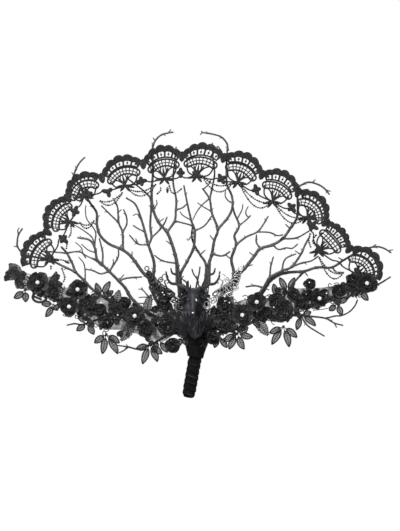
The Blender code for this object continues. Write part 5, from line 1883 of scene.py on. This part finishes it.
# the floor: height in mm, half its side in metres
FLOOR_Z = -450.0
FLOOR_HALF = 1.0
SKY_LIGHT = 0.2
SKY_SEEN = 1.0
# name, place and size in metres, power in watts
LAMPS = [
    ("key", (-0.6, -1.1, 1.4), 0.35, 42.0),
    ("fill", (1.2, -1.2, 0.4), 0.5, 9.0),
    ("rim", (0.3, 1.4, 1.1), 0.8, 12.0),
]
LAMP_AIM = Vector((0.0, 0.0, 0.13))


def make_stage():
    """Camera, white floor far below, even white surroundings and three lamps."""
    distance = VIEW_HEIGHT * CAMERA_LENS / CAMERA_SENSOR
    camera = bpy.data.cameras.new("camera")
    camera.lens = CAMERA_LENS
    camera.sensor_width = CAMERA_SENSOR
    camera.clip_end = 20
    holder = bpy.data.objects.new("camera", camera)
    holder.location = (VIEW_CENTRE[0] * MM, -distance * MM, VIEW_CENTRE[1] * MM)
    holder.rotation_euler = (math.radians(90), 0, 0)
    bpy.context.scene.collection.objects.link(holder)
    bpy.context.scene.camera = holder

    mesh = bpy.data.meshes.new("floor")
    signs = ((-1, -1), (1, -1), (1, 1), (-1, 1))
    corners = [(x * FLOOR_HALF, y * FLOOR_HALF, FLOOR_Z * MM) for x, y in signs]
    mesh.from_pydata(corners, [], [(0, 1, 2, 3)])
    mesh.materials.append(make_floor())
    floor = bpy.data.objects.new("floor", mesh)
    bpy.context.scene.collection.objects.link(floor)

    world = bpy.data.worlds.new("studio")
    world.use_nodes = True
    background = world.node_tree.nodes["Background"]
    background.inputs["Color"].default_value = (1.0, 1.0, 1.0, 1.0)
    tree = world.node_tree
    rays = tree.nodes.new("ShaderNodeLightPath")
    strength = tree.nodes.new("ShaderNodeMapRange")
    strength.inputs["To Min"].default_value = SKY_LIGHT
    strength.inputs["To Max"].default_value = SKY_SEEN
    tree.links.new(rays.outputs["Is Camera Ray"], strength.inputs["Value"])
    tree.links.new(strength.outputs["Result"], background.inputs["Strength"])
    bpy.context.scene.world = world
    bpy.context.scene.view_settings.view_transform = "Standard"

    for name, place, size, power in LAMPS:
        light = bpy.data.lights.new(name, "AREA")
        light.size = size
        light.energy = power
        lamp = bpy.data.objects.new(name, light)
        lamp.location = place
        lamp.rotation_euler = (LAMP_AIM - Vector(place)).to_track_quat("-Z", "Y").to_euler()
        bpy.context.scene.collection.objects.link(lamp)


# ---------------------------------------------------------------- cloth and everything


make_stage()
make_branches()
edge, net, sprigs = make_lace()
make_swags()
make_fixed_beads()
flowers = make_flowers()
small_flowers = make_small_flowers()
rosettes = make_rosettes()
leaves = make_leaves()
ribbons = make_ribbons()
bases = make_bases()
guipure, curls = make_fillers()
make_bust()
make_fur()
make_eyes()
make_antlers()
make_filigree()
wrap = make_wrap()
creases = make_creases()
collar = make_collar()
make_hub()
pad, stitches = make_pad()

for node, slot in (("handle_core", "wood"), ("binding_wire", "wire")):
    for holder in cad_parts[node].material_slots:
        holder.material = FINISH[slot]
